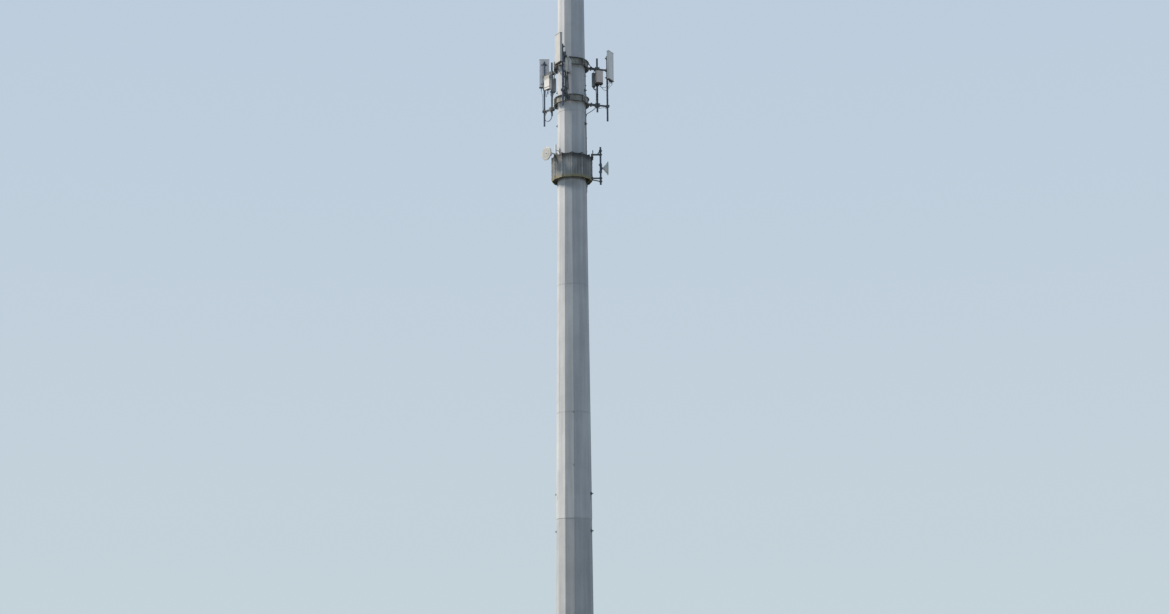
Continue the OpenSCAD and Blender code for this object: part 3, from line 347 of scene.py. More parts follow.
# Material with the shared wear; dress adds to the colour what only one finish has
def makeMaterial(name, look, dress=None, *details):
    material = bpy.data.materials.new(name)
    material.use_nodes = True
    tree = material.node_tree
    spot = addNode(tree, "ShaderNodeTexCoord").outputs
    where = spot["Object"]
    colour = wornColour(tree, where, look)
    if dress:
        colour = dress(tree, spot, look, colour, *details)
    middle, swing = look["roughness"], look["roughSwing"]
    patchy = noiseAt(tree, where, look["blotch"] * look["roughFiner"])
    rough = remap(tree, patchy, look["roughEdges"], (middle - swing, middle + swing))
    fine = noiseAt(tree, where, look["bumpScale"], detail=look["fineDetail"])
    bump = addNode(tree, "ShaderNodeBump", {
        "Strength": look["bump"], "Distance": look["bumpHeight"], "Height": fine})
    inputs = tree.nodes["Principled BSDF"].inputs
    inputs["Metallic"].default_value = look["metallic"]
    inputs["Specular IOR Level"].default_value = look["specular"]
    inputs["Roughness"].default_value = middle
    tree.links.new(colour, inputs["Base Color"])
    tree.links.new(rough, inputs["Roughness"])
    tree.links.new(bump.outputs["Normal"], inputs["Normal"])
    madeMaterials[name] = material


# Galvanised shaft: spangle, faint rain streaks, shop welds, painted light that brightens the facets facing
# the key, and dirt with painted shade in a band just under the collar
shaftLook = wear(
    (0.398, 0.408, 0.428), (0.512, 0.522, 0.536), (0.33, 0.34, 0.345), specular=0.25, roughness=0.65,
    blotch=0.9, streak=7.0, streakRun=0.035, grain=65.0, grainDepth=0.035, stainSize=2.2, stainRun=0.08,
    stainDepth=0.3, bump=0.12, bumpScale=60.0, sunny=210.0, sunnyEdges=(0.80, 0.94), sunnyGain=1.16,
    lowerShade=0.86, weldHeights=(14.4, 10.0), weldEdges=(0.012, 0.03), weldShade=0.9,
    collarDirt=(0.075, 0.073, 0.05), dirtDepth=0.62, dirtStart=(18.08, 18.15), dirtEnd=(18.30, 18.40))
# Stains that run down from lugs, welds and collar: azimuth, height, radius, how tall, how dark
shaftStains = {
    "colour": (0.10, 0.095, 0.085), "core": 0.25, "out": 1.01,
    "spots": (
        (-15.0, 21.30, 0.07, 2.5, 0.55), (-165.0, 21.28, 0.07, 2.0, 0.5), (-15.0, 7.15, 0.07, 3.0, 0.6),
        (-15.0, 5.85, 0.08, 4.5, 0.7), (-165.0, 5.9, 0.07, 2.5, 0.5), (-165.0, 7.15, 0.06, 2.5, 0.4),
        (-90.0, 9.97, 0.05, 1.2, 0.6), (-90.0, 8.2, 0.045, 1.4, 0.5), (-172.0, 19.36, 0.05, 1.2, 0.6),
        (-75.0, 17.9, 0.34, 0.7, 0.25), (-105.0, 17.95, 0.30, 0.6, 0.25), (0.0, 17.5, 0.12, 3.5, 0.35),
        (-80.0, 21.70, 0.17, 3.2, 0.14),
    ),
}


def dressShaft(tree, spot, look, colour, shade):
    # Painted light: facets that face the key's side are made brighter
    sunny = facing(tree, spot["Normal"], away(look["sunny"]))
    gain = remap(tree, sunny, look["sunnyEdges"], (shade, shade * look["sunnyGain"]))
    colour = brightened(tree, colour, gain)
    for weld in look["weldHeights"]:
        off = combine(tree, "SUBTRACT", heightOf(tree, spot["Object"]), weld)
        off = combine(tree, "ABSOLUTE", off)
        colour = brightened(tree, colour, remap(tree, off, look["weldEdges"], (look["weldShade"], 1.0)))
    return colour


# How near a point of the surface lies to a spot: 1 in its core, 0 at its rim
def nearSpot(tree, where, centre, radius, tall):
    gap = vectorMath(tree, "SUBTRACT", where, tuple(centre))["Vector"]
    squeezed = vectorMath(tree, "MULTIPLY", gap, (1.0, 1.0, 1.0 / tall))["Vector"]
    reach = vectorMath(tree, "LENGTH", squeezed)["Value"]
    return remap(tree, reach, (radius * shaftStains["core"], radius), (1.0, 0.0))


def dressStainedShaft(tree, spot, look, colour, shade):
    colour = dressShaft(tree, spot, look, colour, shade)
    height = heightOf(tree, spot["Object"])
    # Dirt and painted shade: a dark band on the shaft just under the collar
    dirty = combine(tree, "MULTIPLY", remap(tree, height, look["dirtStart"], (0.0, look["dirtDepth"])),
                    remap(tree, height, look["dirtEnd"], (1.0, 0.0)))
    colour = mixColours(tree, dirty, colour, look["collarDirt"])
    for azimuth, z, radius, tall, depth in shaftStains["spots"]:
        near = nearSpot(tree, spot["Object"], polar(flatAt(z) * shaftStains["out"], azimuth, z), radius, tall)
        colour = mixColours(tree, combine(tree, "MULTIPLY", near, depth), colour, shaftStains["colour"])
    return colour


# Steel of arms, brackets, pipes, bolts, welds and edges, and the cables and black fittings
steelLooks = {
    "mountSteel": wear((0.045, 0.056, 0.065), (0.105, 0.122, 0.135), (0.16, 0.135, 0.09), metallic=0.2,
                       roughness=0.55, stainDepth=0.4),
    "pipeSteel": wear((0.042, 0.060, 0.092), (0.092, 0.122, 0.175), (0.12, 0.11, 0.09), metallic=0.25,
                      roughness=0.5, streakRun=0.4),
    "palePipe": wear((0.066, 0.094, 0.142), (0.145, 0.19, 0.268), (0.16, 0.15, 0.125), metallic=0.25,
                     roughness=0.5, streakRun=0.4),
    "baseSteel": wear((0.26, 0.275, 0.285), (0.40, 0.41, 0.41), (0.20, 0.15, 0.10), metallic=0.2,
                      grain=90.0, stainRun=1.0, streakRun=1.0, streak=5.0),
    "lugSteel": wear((0.07, 0.07, 0.07), (0.15, 0.15, 0.14), (0.16, 0.10, 0.05), roughness=0.65),
    "brightSteel": wear((0.70, 0.67, 0.62), (0.84, 0.80, 0.74), (0.36, 0.30, 0.21), metallic=0.15,
                        roughness=0.45),
    "boltSteel": wear((0.16, 0.165, 0.165), (0.30, 0.30, 0.29), (0.20, 0.12, 0.06), metallic=0.4,
                      roughness=0.45, grain=500.0),
    "weldBead": wear((0.30, 0.32, 0.335), (0.40, 0.42, 0.435), (0.22, 0.19, 0.15), metallic=0.15,
                     roughness=0.55, bump=0.5, bumpScale=220.0),
    "collarEdge": wear((0.036, 0.033, 0.026), (0.07, 0.062, 0.042), (0.14, 0.11, 0.035), roughness=0.65,
                       stainDepth=0.7),
    "cableJacket": wear((0.018, 0.020, 0.024), (0.036, 0.038, 0.042), (0.07, 0.065, 0.06), roughness=0.5,
                        streakRun=1.0, stainDepth=0.3),
    "blackPlastic": wear((0.014, 0.015, 0.016), (0.028, 0.029, 0.030), (0.06, 0.055, 0.05),
                         roughness=0.45, bump=0.12),
}

# Ring mounts: pale brown dust on the web; the flanges, facing up or down, get nearly black painted shade
ringLook = wear((0.14, 0.138, 0.122), (0.35, 0.34, 0.305), (0.10, 0.075, 0.045), metallic=0.1,
                roughness=0.65, streak=9.0, streakRun=0.3, stainDepth=0.55,
                flange=(0.042, 0.048, 0.055), flangeEdges=(0.3, 0.7))


def dressRing(tree, spot, look, colour):
    # Painted shade: faces that look up or down are darkened towards the flange colour
    level = combine(tree, "ABSOLUTE", facing(tree, spot["Normal"], (0.0, 0.0, 1.0)))
    return tinted(tree, colour, look["flange"], level, look["flangeEdges"], (0.0, 1.0))


# Collar: streaked sheet with pale ribs, a dark band down from the top edge that is dirt and painted shade of
# the recess, painted light and shade on each facet by the way it faces, and olive stains along the foot
collarLook = wear(
    (0.17, 0.18, 0.185), (0.36, 0.365, 0.36), (0.10, 0.095, 0.08), metallic=0.1, roughness=0.62,
    blotch=2.2, streak=22.0, streakRun=0.035, stainSize=16.0, stainRun=0.06, stainDepth=0.6,
    olive=(0.255, 0.215, 0.095), oliveEdges=(-0.10, 0.05), oliveDepth=0.7,
    dirt=(0.022, 0.024, 0.026), dirtEdges=(-0.26, 0.02), dirtDepth=0.96,
    raggedSize=26.0, raggedRun=0.1, raggedHigh=0.16, sheetGain=1.35, ribGain=2.0,
    facets=((15, 0.45), (105, 0.50), (165, 0.42), (195, 0.47), (225, 0.73), (255, 0.79), (285, 0.57),
            (315, 0.45), (345, 0.41)))


def dressCollar(tree, spot, look, colour, gain):
    # Painted light and shade: a brightness for each facet by its azimuth
    facets = byAzimuth(tree, spot["Normal"], look["facets"])
    colour = brightened(tree, colour, combine(tree, "MULTIPLY", facets, gain))
    foot, head = tower["collarLow"], tower["collarLow"] + tower["collarHigh"]
    lower = raggedHeight(tree, spot["Object"], look, "SUBTRACT")
    upper = raggedHeight(tree, spot["Object"], look, "ADD")
    oliveEdges = [foot + edge for edge in look["oliveEdges"]]
    colour = tinted(tree, colour, look["olive"], lower, oliveEdges, (look["oliveDepth"], 0.0))
    # Dirt and painted shade darken the sheet down from the top edge
    dirtEdges = [head + edge for edge in look["dirtEdges"]]
    return tinted(tree, colour, look["dirt"], upper, dirtEdges, (0.0, look["dirtDepth"]))


# Panel antennas: warm grey radome in front, cooler metal at the back made paler as painted light, dark caps;
# the side faces' colour and a gain for each sector are painted light and shade for how each panel is lit
antennaLook = wear(
    (0.60, 0.58, 0.56), (0.70, 0.68, 0.66), (0.44, 0.41, 0.36), roughness=0.5, blotch=1.8, streak=16.0,
    streakRun=0.06, grain=700.0, grainDepth=0.015, stainSize=12.0, stainRun=0.06, stainDepth=0.3, bump=0.06,
    sides=((0.70, 0.68, 0.66), (0.52, 0.50, 0.48), (0.52, 0.50, 0.48)), sideEdges=(0.25, 0.75),
    sideDepth=0.85, back=(0.82, 0.81, 0.83), backEdges=(-0.9, -0.4), backDepth=0.9,
    footCap=(0.055, 0.05, 0.045), footDepth=0.95, headCap=(0.30, 0.25, 0.20), headDepth=0.55,
    capHigh=0.026, capBlur=0.001, gains=(1.08, 1.0, 0.85))


def dressAntenna(tree, spot, look, colour, k):
    ahead = facing(tree, spot["Normal"], away(panelAzimuth(k)))
    # Painted light and shade: side faces tinted per sector, the back made paler
    colour = tinted(tree, colour, look["sides"][k], ahead, look["sideEdges"], (look["sideDepth"], 0.0))
    colour = tinted(tree, colour, look["back"], ahead, look["backEdges"], (look["backDepth"], 0.0))
    height = heightOf(tree, spot["Object"])
    foot = tower["panelFoot"] + look["capHigh"]
    head = tower["panelFoot"] + tower["panelHigh"] - look["capHigh"]
    for edge, cap, depths in ((foot, "footCap", (look["footDepth"], 0.0)),
                              (head, "headCap", (0.0, look["headDepth"]))):
        edges = (edge - look["capBlur"], edge + look["capBlur"])
        colour = tinted(tree, colour, look[cap], height, edges, depths)
    # Painted light and shade: a brightness gain for each sector
    return brightened(tree, colour, look["gains"][k])


# Radio units: pale cast housings, greener and dirtier towards the top
radioWear = {
    "stain": (0.40, 0.35, 0.29), "stainDepth": 0.4, "roughness": 0.55, "streak": 18.0, "streakRun": 0.2,
    "grain": 900.0, "grainDepth": 0.02, "bump": 0.1, "moss": (0.30, 0.315, 0.30), "mossEdges": (0.04, 0.13),
    "raggedSize": 38.0, "raggedRun": 0.15, "raggedHigh": 0.16,
}
radioLooks = (
    wear((0.60, 0.51, 0.455), (0.72, 0.61, 0.545), **radioWear, mossDepth=0.15, mossDown=0.10),
    # Left unit: paint made paler as painted light, offsetting the shadow that its panel casts on it
    wear((0.72, 0.705, 0.69), (0.84, 0.82, 0.80), **radioWear, mossDepth=0.85, mossDown=0.17),
    wear((0.57, 0.555, 0.545), (0.69, 0.675, 0.665), **radioWear, mossDepth=0.3, mossDown=0.47),
)


def dressRadio(tree, spot, look, colour):
    edges = [tower["radioTop"] - look["mossDown"] + edge for edge in look["mossEdges"]]
    high = raggedHeight(tree, spot["Object"], look, "ADD")
    return tinted(tree, colour, look["moss"], high, edges, (0.0, look["mossDepth"]))


# Paint of the power boxes and of the grey rings on the dishes' covers
paintLooks = {
    "powerPaint": wear((0.15, 0.165, 0.18), (0.25, 0.265, 0.28), (0.26, 0.23, 0.18), roughness=0.5,
                       streak=20.0, streakRun=0.15, grain=800.0, bump=0.1),
    "dishGrey": wear((0.34, 0.34, 0.34), (0.44, 0.44, 0.43), (0.26, 0.24, 0.20), roughness=0.55,
                     grain=900.0, bump=0.06),
}

# Dishes: off-white drums; the right one chalky white as painted light for the pole's shadow it hangs in, the
# left one greyer as painted shade where the key lights it; what lies nearer to the pipe than the right hub is
# dark steel
dishWear = {
    "stain": (0.42, 0.38, 0.31), "roughness": 0.5, "streak": 14.0, "streakRun": 0.3, "grain": 900.0,
    "grainDepth": 0.015, "bump": 0.06, "stainDepth": 0.3,
}
rightDishLook = wear((0.80, 0.79, 0.76), (0.92, 0.91, 0.88), **dishWear, fixing=(0.075, 0.092, 0.11),
                     fixingEdges=(1.067, 1.071))
leftDishLook = wear((0.42, 0.415, 0.40), (0.52, 0.515, 0.49), **dishWear)


def dressRightDish(tree, spot, look, colour):
    out = addNode(tree, "ShaderNodeSeparateXYZ", {"Vector": spot["Object"]}).outputs["X"]
    return tinted(tree, colour, look["fixing"], out, look["fixingEdges"], (1.0, 0.0))


for name, look in {**steelLooks, **paintLooks}.items():
    makeMaterial(name, look)
makeMaterial("galvanisedShaft", shaftLook, dressStainedShaft, 1.0)
makeMaterial("galvanisedLower", shaftLook, dressShaft, shaftLook["lowerShade"])
makeMaterial("ringSteel", ringLook, dressRing)
makeMaterial("collarSheet", collarLook, dressCollar, collarLook["sheetGain"])
makeMaterial("collarRib", collarLook, dressCollar, collarLook["ribGain"])
for number, sector in enumerate(sectorNames):
    makeMaterial(sector + "Antenna", antennaLook, dressAntenna, number)
    makeMaterial(sector + "Radio", radioLooks[number], dressRadio)
makeMaterial("rightDish", rightDishLook, dressRightDish)
makeMaterial("leftDish", leftDishLook)
print("materials made:", len(madeMaterials))

finishOfSlot = {
    "shaft_galvanised": "galvanisedShaft", "base_steel": "baseSteel", "mount_steel": "mountSteel",
    "pipe_steel": "pipeSteel", "power_paint": "powerPaint", "collar_sheet": "collarSheet",
    "dish_paint": "rightDish", "bright_steel": "brightSteel", "cable_jacket": "cableJacket",
}
finishOfNode = {
    "lower_section": "galvanisedLower", "access_port_frame": "galvanisedLower",
    "access_cover": "galvanisedLower", "upper_ring": "ringSteel", "lower_ring": "ringSteel",
    "jacking_lugs": "lugSteel", "collar_ribs": "collarRib", "collar_top_plate": "collarEdge",
    "collar_bottom_plate": "collarEdge", "collar_gussets": "collarEdge", "ring_rods": "boltSteel",
    "left_dish": "leftDish", "left_antenna_pipe": "palePipe",
}
for sector in sectorNames:
    finishOfNode[sector + "_panel_antenna"] = sector + "Antenna"
    finishOfNode[sector + "_radio_unit"] = sector + "Radio"

slotOf = {part["node"]: part["material_slot"] for part in frame["record"]["subparts"]}
for name, piece in nodes.items():
    finish = finishOfNode[name] if name in finishOfNode else finishOfSlot[slotOf[name]]
    piece.data.materials.clear()
    piece.data.materials.append(madeMaterials[finish])
print("finishes on the frame's nodes")

# Ways that fittings point, and how deep they sit in what carries them, so that no gap shows
upwards, downwards, outwards = (0.0, 0.0, 1.0), (0.0, 0.0, -1.0), (1.0, 0.0, 0.0)
boltBury = 0.0005
clampBury = 0.0003
plateBury = 0.001


# Building blocks of the fittings
def frameAt(origin, axis, upright=upwards):
    along = Vector(axis).normalized()
    sideways = Vector(upright).cross(along)
    if sideways.length < 0.01:
        sideways = Vector(outwards)
    sideways.normalize()
    turn = Matrix((sideways, along.cross(sideways), along)).transposed().to_4x4()
    turn.translation = Vector(origin)
    return turn


# Frame whose place and axis are given as they lie before a turn by azimuth about the shaft
def turnedFrame(azimuth, spot, axis):
    return frameAt(turnedBy(*spot, azimuth), turnedBy(*axis, azimuth))


# The points of a circle in a plane, starting on its first axis
def circle(radius, sides):
    turns = (2 * math.pi * i / sides for i in range(sides))
    return [(radius * math.cos(a), radius * math.sin(a)) for a in turns]


# Turned form: outline is a list of (radius, height) pairs; a radius of 0 closes it at the axis
def addTurned(shape, place, outline, sides):
    loops = []
    for radius, height in outline:
        spots = circle(radius, sides) if radius else [(0.0, 0.0)]
        loops.append([shape.verts.new(place @ Vector((x, y, height))) for x, y in spots])
    for low, high in zip(loops, loops[1:]):
        for i in range(sides):
            j = (i + 1) % sides
            ends = [low[i % len(low)], low[j % len(low)], high[j % len(high)], high[i % len(high)]]
            shape.faces.new(list(dict.fromkeys(ends)))


# Turned form that is closed at both ends; dome lifts the middle of its top
def addKnob(shape, place, profile, sides, dome=0.0):
    low, high = profile[0][1], profile[-1][1] + dome
    addTurned(shape, place, [(0.0, low), *profile, (0.0, high)], sides)


# Block with chamfered edges: size along the frame's X, Y and Z
def addBlock(shape, place, size, chamfer):
    made = bmesh.ops.create_cube(shape, size=1.0)["verts"]
    for vert in made:
        vert.co = place @ Vector([c * s for c, s in zip(vert.co, size)])
    edges = list(dict.fromkeys(edge for vert in made for edge in vert.link_edges))
    bmesh.ops.bevel(shape, geom=edges, offset=chamfer, segments=1, affect="EDGES", clamp_overlap=True)


# Round bar or bead swept along points; a closed one joins its ends
def addSwept(shape, points, radius, sides, closed=False, flatten=1.0):
    points = [Vector(p) for p in points]
    count = len(points)
    loops = []
    for i, point in enumerate(points):
        before = points[(i - 1) % count] if closed or i > 0 else point
        after = points[(i + 1) % count] if closed or i < count - 1 else point
        along = (after - before).normalized()
        sideways = Vector(upwards).cross(along)
        if sideways.length < 0.05:
            sideways = Vector((point.x, point.y, 0.0)).cross(along)
        sideways.normalize()
        other = along.cross(sideways)
        loops.append([shape.verts.new(point + x * flatten * sideways + y * other)
                      for x, y in circle(radius, sides)])
    pairs = list(zip(loops, loops[1:])) + ([(loops[-1], loops[0])] if closed else [])
    for low, high in pairs:
        for j in range(sides):
            m = (j + 1) % sides
            shape.faces.new([low[j], low[m], high[m], high[j]])
    if not closed:
        shape.faces.new(loops[0])
        shape.faces.new(loops[-1])


# Bolts, nuts and washers: sizes are shares of the radius or of the height
boltShares = {
    "washer": 1.45, "washerHigh": 0.22, "washerEdge": (0.93, 0.7), "washerSides": 16, "seat": 0.2,
    "headHigh": 0.85, "headEdge": (0.84, 0.82), "thread": 0.52, "threadEnd": 0.4, "threadSlope": 0.1,
    "threadSides": 12,
}


def addWasher(shape, place, radius, high):
    narrow, low = boltShares["washerEdge"]
    addKnob(shape, place, [(radius, 0.0), (radius, high * low), (radius * narrow, high)],
            boltShares["washerSides"])


def addHexHead(shape, place, radius, high):
    narrow, low = boltShares["headEdge"]
    addKnob(shape, place, [(radius, 0.0), (radius, high * low), (radius * narrow, high)], 6)


# Bolt head or nut on a washer; a tail shows the thread's end
def addBolt(shape, origin, axis, radius, tail=0.0):
    s = boltShares
    addWasher(shape, frameAt(origin, axis), radius * s["washer"], radius * s["washerHigh"])
    base = frameAt(Vector(origin) + Vector(axis).normalized() * radius * s["seat"], axis)
    addHexHead(shape, base, radius, radius * s["headHigh"])
    if tail > 0.0:
        high, thread = radius * s["headHigh"] + tail, radius * s["thread"]
        addKnob(shape, base, [(thread, 0.0), (thread, high - radius * s["threadSlope"]),
                              (radius * s["threadEnd"], high)], s["threadSides"])


def addBoltAt(shape, azimuth, spot, axis, radius, tail=0.0):
    addBolt(shape, turnedBy(*spot, azimuth), turnedBy(*axis, azimuth), radius, tail)


# Round domed head: (radius, share of it at the top, height, dome)
def addScrew(shape, place, head, sides=12):
    radius, share, high, dome = head
    addKnob(shape, place, [(radius, 0.0), (radius * share, high)], sides, dome)


# Gland or coupling nut that hangs from end, with the boot of its cable where there is one
def addGland(shape, end, s):
    profile = [(s["glandRadius"] * r, s["glandHigh"] * z) for r, z in s["glandSteps"]]
    if "bootRadius" in s:
        profile += [(s["bootRadius"], s["glandHigh"] + s["bootGap"]),
                    (s["bootRadius"] * s["bootEnd"], s["glandHigh"] + s["bootHigh"])]
    addKnob(shape, frameAt(end, downwards), profile, s["glandSides"])


def finishPiece(name, shape, finish, smoothAngle=32.0):
    bmesh.ops.recalc_face_normals(shape, faces=shape.faces[:])
    mesh = bpy.data.meshes.new(name)
    shape.to_mesh(mesh)
    shape.free()
    mesh.polygons.foreach_set("use_smooth", [True] * len(mesh.polygons))
    mesh.set_sharp_from_angle(angle=math.radians(smoothAngle))
    mesh.materials.append(madeMaterials[finish])
    piece = bpy.data.objects.new(name, mesh)
    bpy.context.scene.collection.objects.link(piece)
    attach(piece, "root")


# Base: anchor bolts with two nuts and a washer each, and the weld round the shaft's foot
baseFittings = {
    "plateTop": 0.05, "boltCircle": 0.75, "boltCount": 16, "boltRadius": 0.024, "boltAbove": 0.095,
    "boltEnd": 0.8, "threads": 9, "threadIn": 0.93, "threadBury": 0.002, "boltSides": 16, "nutRadius": 0.044,
    "nutHigh": 0.040, "nutShares": (1.0, 0.6), "nutTurn": 1.3, "washerRadius": 0.056, "washerHigh": 0.008,
    "weldRadius": 0.011, "weldSteps": 14, "weldRipple": 0.0012, "weldOut": 0.002, "weldSides": 8,
}


def addBaseFittings():
    s = baseFittings
    shape = bmesh.new()
    r, top, count = s["boltRadius"], s["boltAbove"], s["threads"]
    for i in range(s["boltCount"]):
        foot = polar(s["boltCircle"], 360.0 * i / s["boltCount"], s["plateTop"])
        place = frameAt(foot, upwards)
        addWasher(shape, place, s["washerRadius"], s["washerHigh"])
        high = s["washerHigh"]
        for share in s["nutShares"]:
            turn = Matrix.Rotation(i * s["nutTurn"] + share, 4, "Z")
            addHexHead(shape, frameAt(foot + Vector((0.0, 0.0, high)), upwards) @ turn, s["nutRadius"],
                       s["nutHigh"] * share)
            high += s["nutHigh"] * share
        outline = [(0.0, high - s["threadBury"])]
        for j in range(count):
            outline.append((r if j % 2 else r * s["threadIn"], high + (top - high) * j / count))
        outline += [(r * s["boltEnd"], top), (0.0, top)]
        addTurned(shape, place, outline, s["boltSides"])
    finishPiece("anchor_bolts", shape, "boltSteel")
    shape = bmesh.new()
    points = []
    foot = acrossAt(s["plateTop"]) / 2
    for azimuth in corners:
        a, b = (polar(foot, turn, s["plateTop"]) for turn in (azimuth, azimuth + flatTurn))
        for j in range(s["weldSteps"]):
            p = a.lerp(b, j / s["weldSteps"])
            out = 1.0 + (s["weldRipple"] * (j % 2) + s["weldOut"]) / p.xy.length
            points.append((p.x * out, p.y * out, p.z + plateBury))
    addSwept(shape, points, s["weldRadius"], s["weldSides"], closed=True)
    finishPiece("foot_weld", shape, "weldBead")


# Hand hole: cover bolts and the weld where its frame meets the shaft
coverFittings = {
    "azimuth": -75.0, "middle": 1.15, "face": 0.643, "boltRadius": 0.010, "boltSide": 0.083,
    "boltRises": (-0.12, 0.0, 0.12), "endBolts": (-0.208, 0.208), "weldHalfWide": 0.097,
    "weldStraight": 0.130, "weldRadius": 0.005, "weldShare": 0.4, "weldStep": 15, "weldSides": 6,
}


def addCoverFittings():
    s = coverFittings
    shape = bmesh.new()
    places = [(side * s["boltSide"], up) for side, up in product(bothWays, s["boltRises"])]
    for side, up in places + [(0.0, end) for end in s["endBolts"]]:
        spot = (s["face"] - boltBury, side, s["middle"] + up)
        addBoltAt(shape, s["azimuth"], spot, outwards, s["boltRadius"])
    finishPiece("cover_bolts", shape, "boltSteel")
    shape = bmesh.new()
    points = []
    wide = s["weldHalfWide"] + s["weldRadius"] * s["weldShare"]
    for end, first in ((1, 0), (-1, 180)):
        for turn in range(first, first + 181, s["weldStep"]):
            a = math.radians(turn)
            z = s["middle"] + end * s["weldStraight"] + wide * math.sin(a)
            points.append(turnedBy(flatAt(z) + plateBury, wide * math.cos(a), z, s["azimuth"]))
    addSwept(shape, points, s["weldRadius"], s["weldSides"], closed=True)
    finishPiece("hand_hole_weld", shape, "weldBead")


# Shaft: shop welds round it, one seam along each section, the beads round the lugs and their pins' ends
weldFittings = {
    "ringHeights": (14.4, 10.0), "ringRadius": 0.006, "ringBury": 0.002, "seamRadius": 0.007,
    "seamBury": 0.003, "seamStep": 0.5, "seamSides": 8, "seamStart": 0.001,
    "seams": ((0.06, 6.45, 105.0), (6.50, 20.60, 45.0), (20.66, 34.92, 105.0)),
    "lugHeights": (7.29, 6.06, 21.46, 20.23), "lugTurns": (-15.0, 165.0), "lugHalfWide": 0.037,
    "lugHalfHigh": 0.047, "lugBead": 0.005, "lugSides": 6,
    "pinReach": 0.0805, "pinProfile": ((0.0195, 0.0), (0.0195, 0.004), (0.01365, 0.008)), "pinDome": 0.001,
    "pinSides": 20,
}


def addShaftWelds():
    s = weldFittings
    shape = bmesh.new()
    for z in s["ringHeights"]:
        points = [polar(acrossAt(z) / 2 - s["ringBury"], azimuth, z) for azimuth in corners]
        addSwept(shape, points, s["ringRadius"], s["seamSides"], closed=True)
    for low, high, azimuth in s["seams"]:
        steps = int((high - low) / s["seamStep"])
        heights = [low + (high - low) * i / steps for i in range(steps + 1)]
        points = [polar(flatAt(max(z, low + s["seamStart"])) - s["seamBury"], azimuth, z) for z in heights]
        addSwept(shape, points, s["seamRadius"], s["seamSides"])
    for middle, azimuth in product(s["lugHeights"], s["lugTurns"]):
        points = []
        for u, v in ((-1, -1), (1, -1), (1, 1), (-1, 1)):
            z = middle + v * s["lugHalfHigh"]
            points.append(turnedBy(flatAt(z) + plateBury, u * s["lugHalfWide"], z, azimuth))
        addSwept(shape, points, s["lugBead"], s["lugSides"], closed=True)
    finishPiece("shaft_welds", shape, "weldBead")
    shape = bmesh.new()
    for z, azimuth in product(s["lugHeights"], s["lugTurns"]):
        end = polar(flatAt(z) + s["pinReach"] - plateBury, azimuth, z)
        addKnob(shape, frameAt(end, away(azimuth)), s["pinProfile"], s["pinSides"], s["pinDome"])
    finishPiece("lug_pin_ends", shape, "lugSteel")


addBaseFittings()
addCoverFittings()
addShaftWelds()
print("base, hand hole and shaft fittings made")

# Ring mounts: nuts on the threaded rods, set bolts at the shoes and bolts through the arms' root plates
ringFittings = {
    "rodNut": 0.021, "rodRise": 0.0528, "earFace": 0.0082, "setBolt": 0.013, "setTail": 0.012,
    "setRise": 0.03, "shoeTurns": (-15.0, 45.0), "rootBolt": 0.014, "rootSide": 0.056, "rootRise": 0.07,
}


def addRingFittings():
    s, t = ringFittings, tower
    shape = bmesh.new()
    half = math.radians(t["gapHalf"])
    reach = t["rodRadius"] * math.sin(half) + s["earFace"]
    for ringZ, k in product(rings, sectors):
        gap = sectorAzimuth(k) + sectorPitch / 2
        for side, rise in product(bothWays, repeat=2):
            spot = (t["rodRadius"] * math.cos(half), side * reach, ringZ + rise * s["rodRise"])
            addBoltAt(shape, gap, spot, (0.0, side, 0.0), s["rodNut"])
        for turn, rise in product(s["shoeTurns"], bothWays):
            spot = (t["ringOut"] - plateBury, 0.0, ringZ + rise * s["setRise"])
            addBoltAt(shape, turn + sectorPitch * k, spot, outwards, s["setBolt"], s["setTail"])
        for rise, side in product(bothWays, repeat=2):
            spot = (t["rootFace"] - plateBury, side * s["rootSide"], ringZ + rise * s["rootRise"])
            addBoltAt(shape, sectorAzimuth(k), spot, outwards, s["rootBolt"])
    finishPiece("ring_bolts", shape, "boltSteel")


# Arms: bolts on both sides of each flange and nuts on the clamps' long bolts
armFittings = {
    "flangeBolt": 0.0125, "flangeSpot": 0.046, "flangeHalf": 0.015, "flangeTail": 0.006, "clampNut": 0.0125,
    "radioClamp": (0.075, 0.044, 0.0485), "antennaClamp": (0.050, 0.041, 0.024),
}


def addArmFittings():
    s, t = armFittings, tower
    shape = bmesh.new()
    clamps = ((t["radioPipe"], s["radioClamp"]), (t["antennaPipe"], s["antennaClamp"]))
    for ringZ, k, y, z, side in product(rings, sectors, bothWays, bothWays, bothWays):
        axis = (side, 0.0, 0.0)
        x = t["flange"] + side * (s["flangeHalf"] - boltBury)
        spot = (x, y * s["flangeSpot"], ringZ + z * s["flangeSpot"])
        addBoltAt(shape, sectorAzimuth(k), spot, axis, s["flangeBolt"], s["flangeTail"] if side > 0 else 0.0)
        for pipe, (reach, wide, high) in clamps:
            spot = (pipe + side * (reach - boltBury), y * wide, ringZ + z * high)
            addBoltAt(shape, sectorAzimuth(k), spot, axis, s["clampNut"])
    finishPiece("arm_bolts", shape, "boltSteel")


# Pipes: domed plastic caps in the ends
capFittings = {"profile": ((0.0345, 0.0), (0.0345, 0.004), (0.0276, 0.0072)), "dome": 0.0018, "sides": 24}


def addPipeCaps():
    s = capFittings
    shape = bmesh.new()
    names = [sector + kind for sector in sectorNames for kind in ("_radio_pipe", "_antenna_pipe")]
    for name in names + ["dish_pipe"]:
        low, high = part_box(name)
        x, y = (low.x + high.x) / 2, (low.y + high.y) / 2
        for z, way in ((high.z, 1), (low.z, -1)):
            place = frameAt((x, y, z - way * plateBury), (0, 0, way))
            addKnob(shape, place, s["profile"], s["sides"], s["dome"])
    finishPiece("pipe_caps", shape, "blackPlastic")


addRingFittings()
addArmFittings()
addPipeCaps()
print("ring, arm and pipe fittings made")

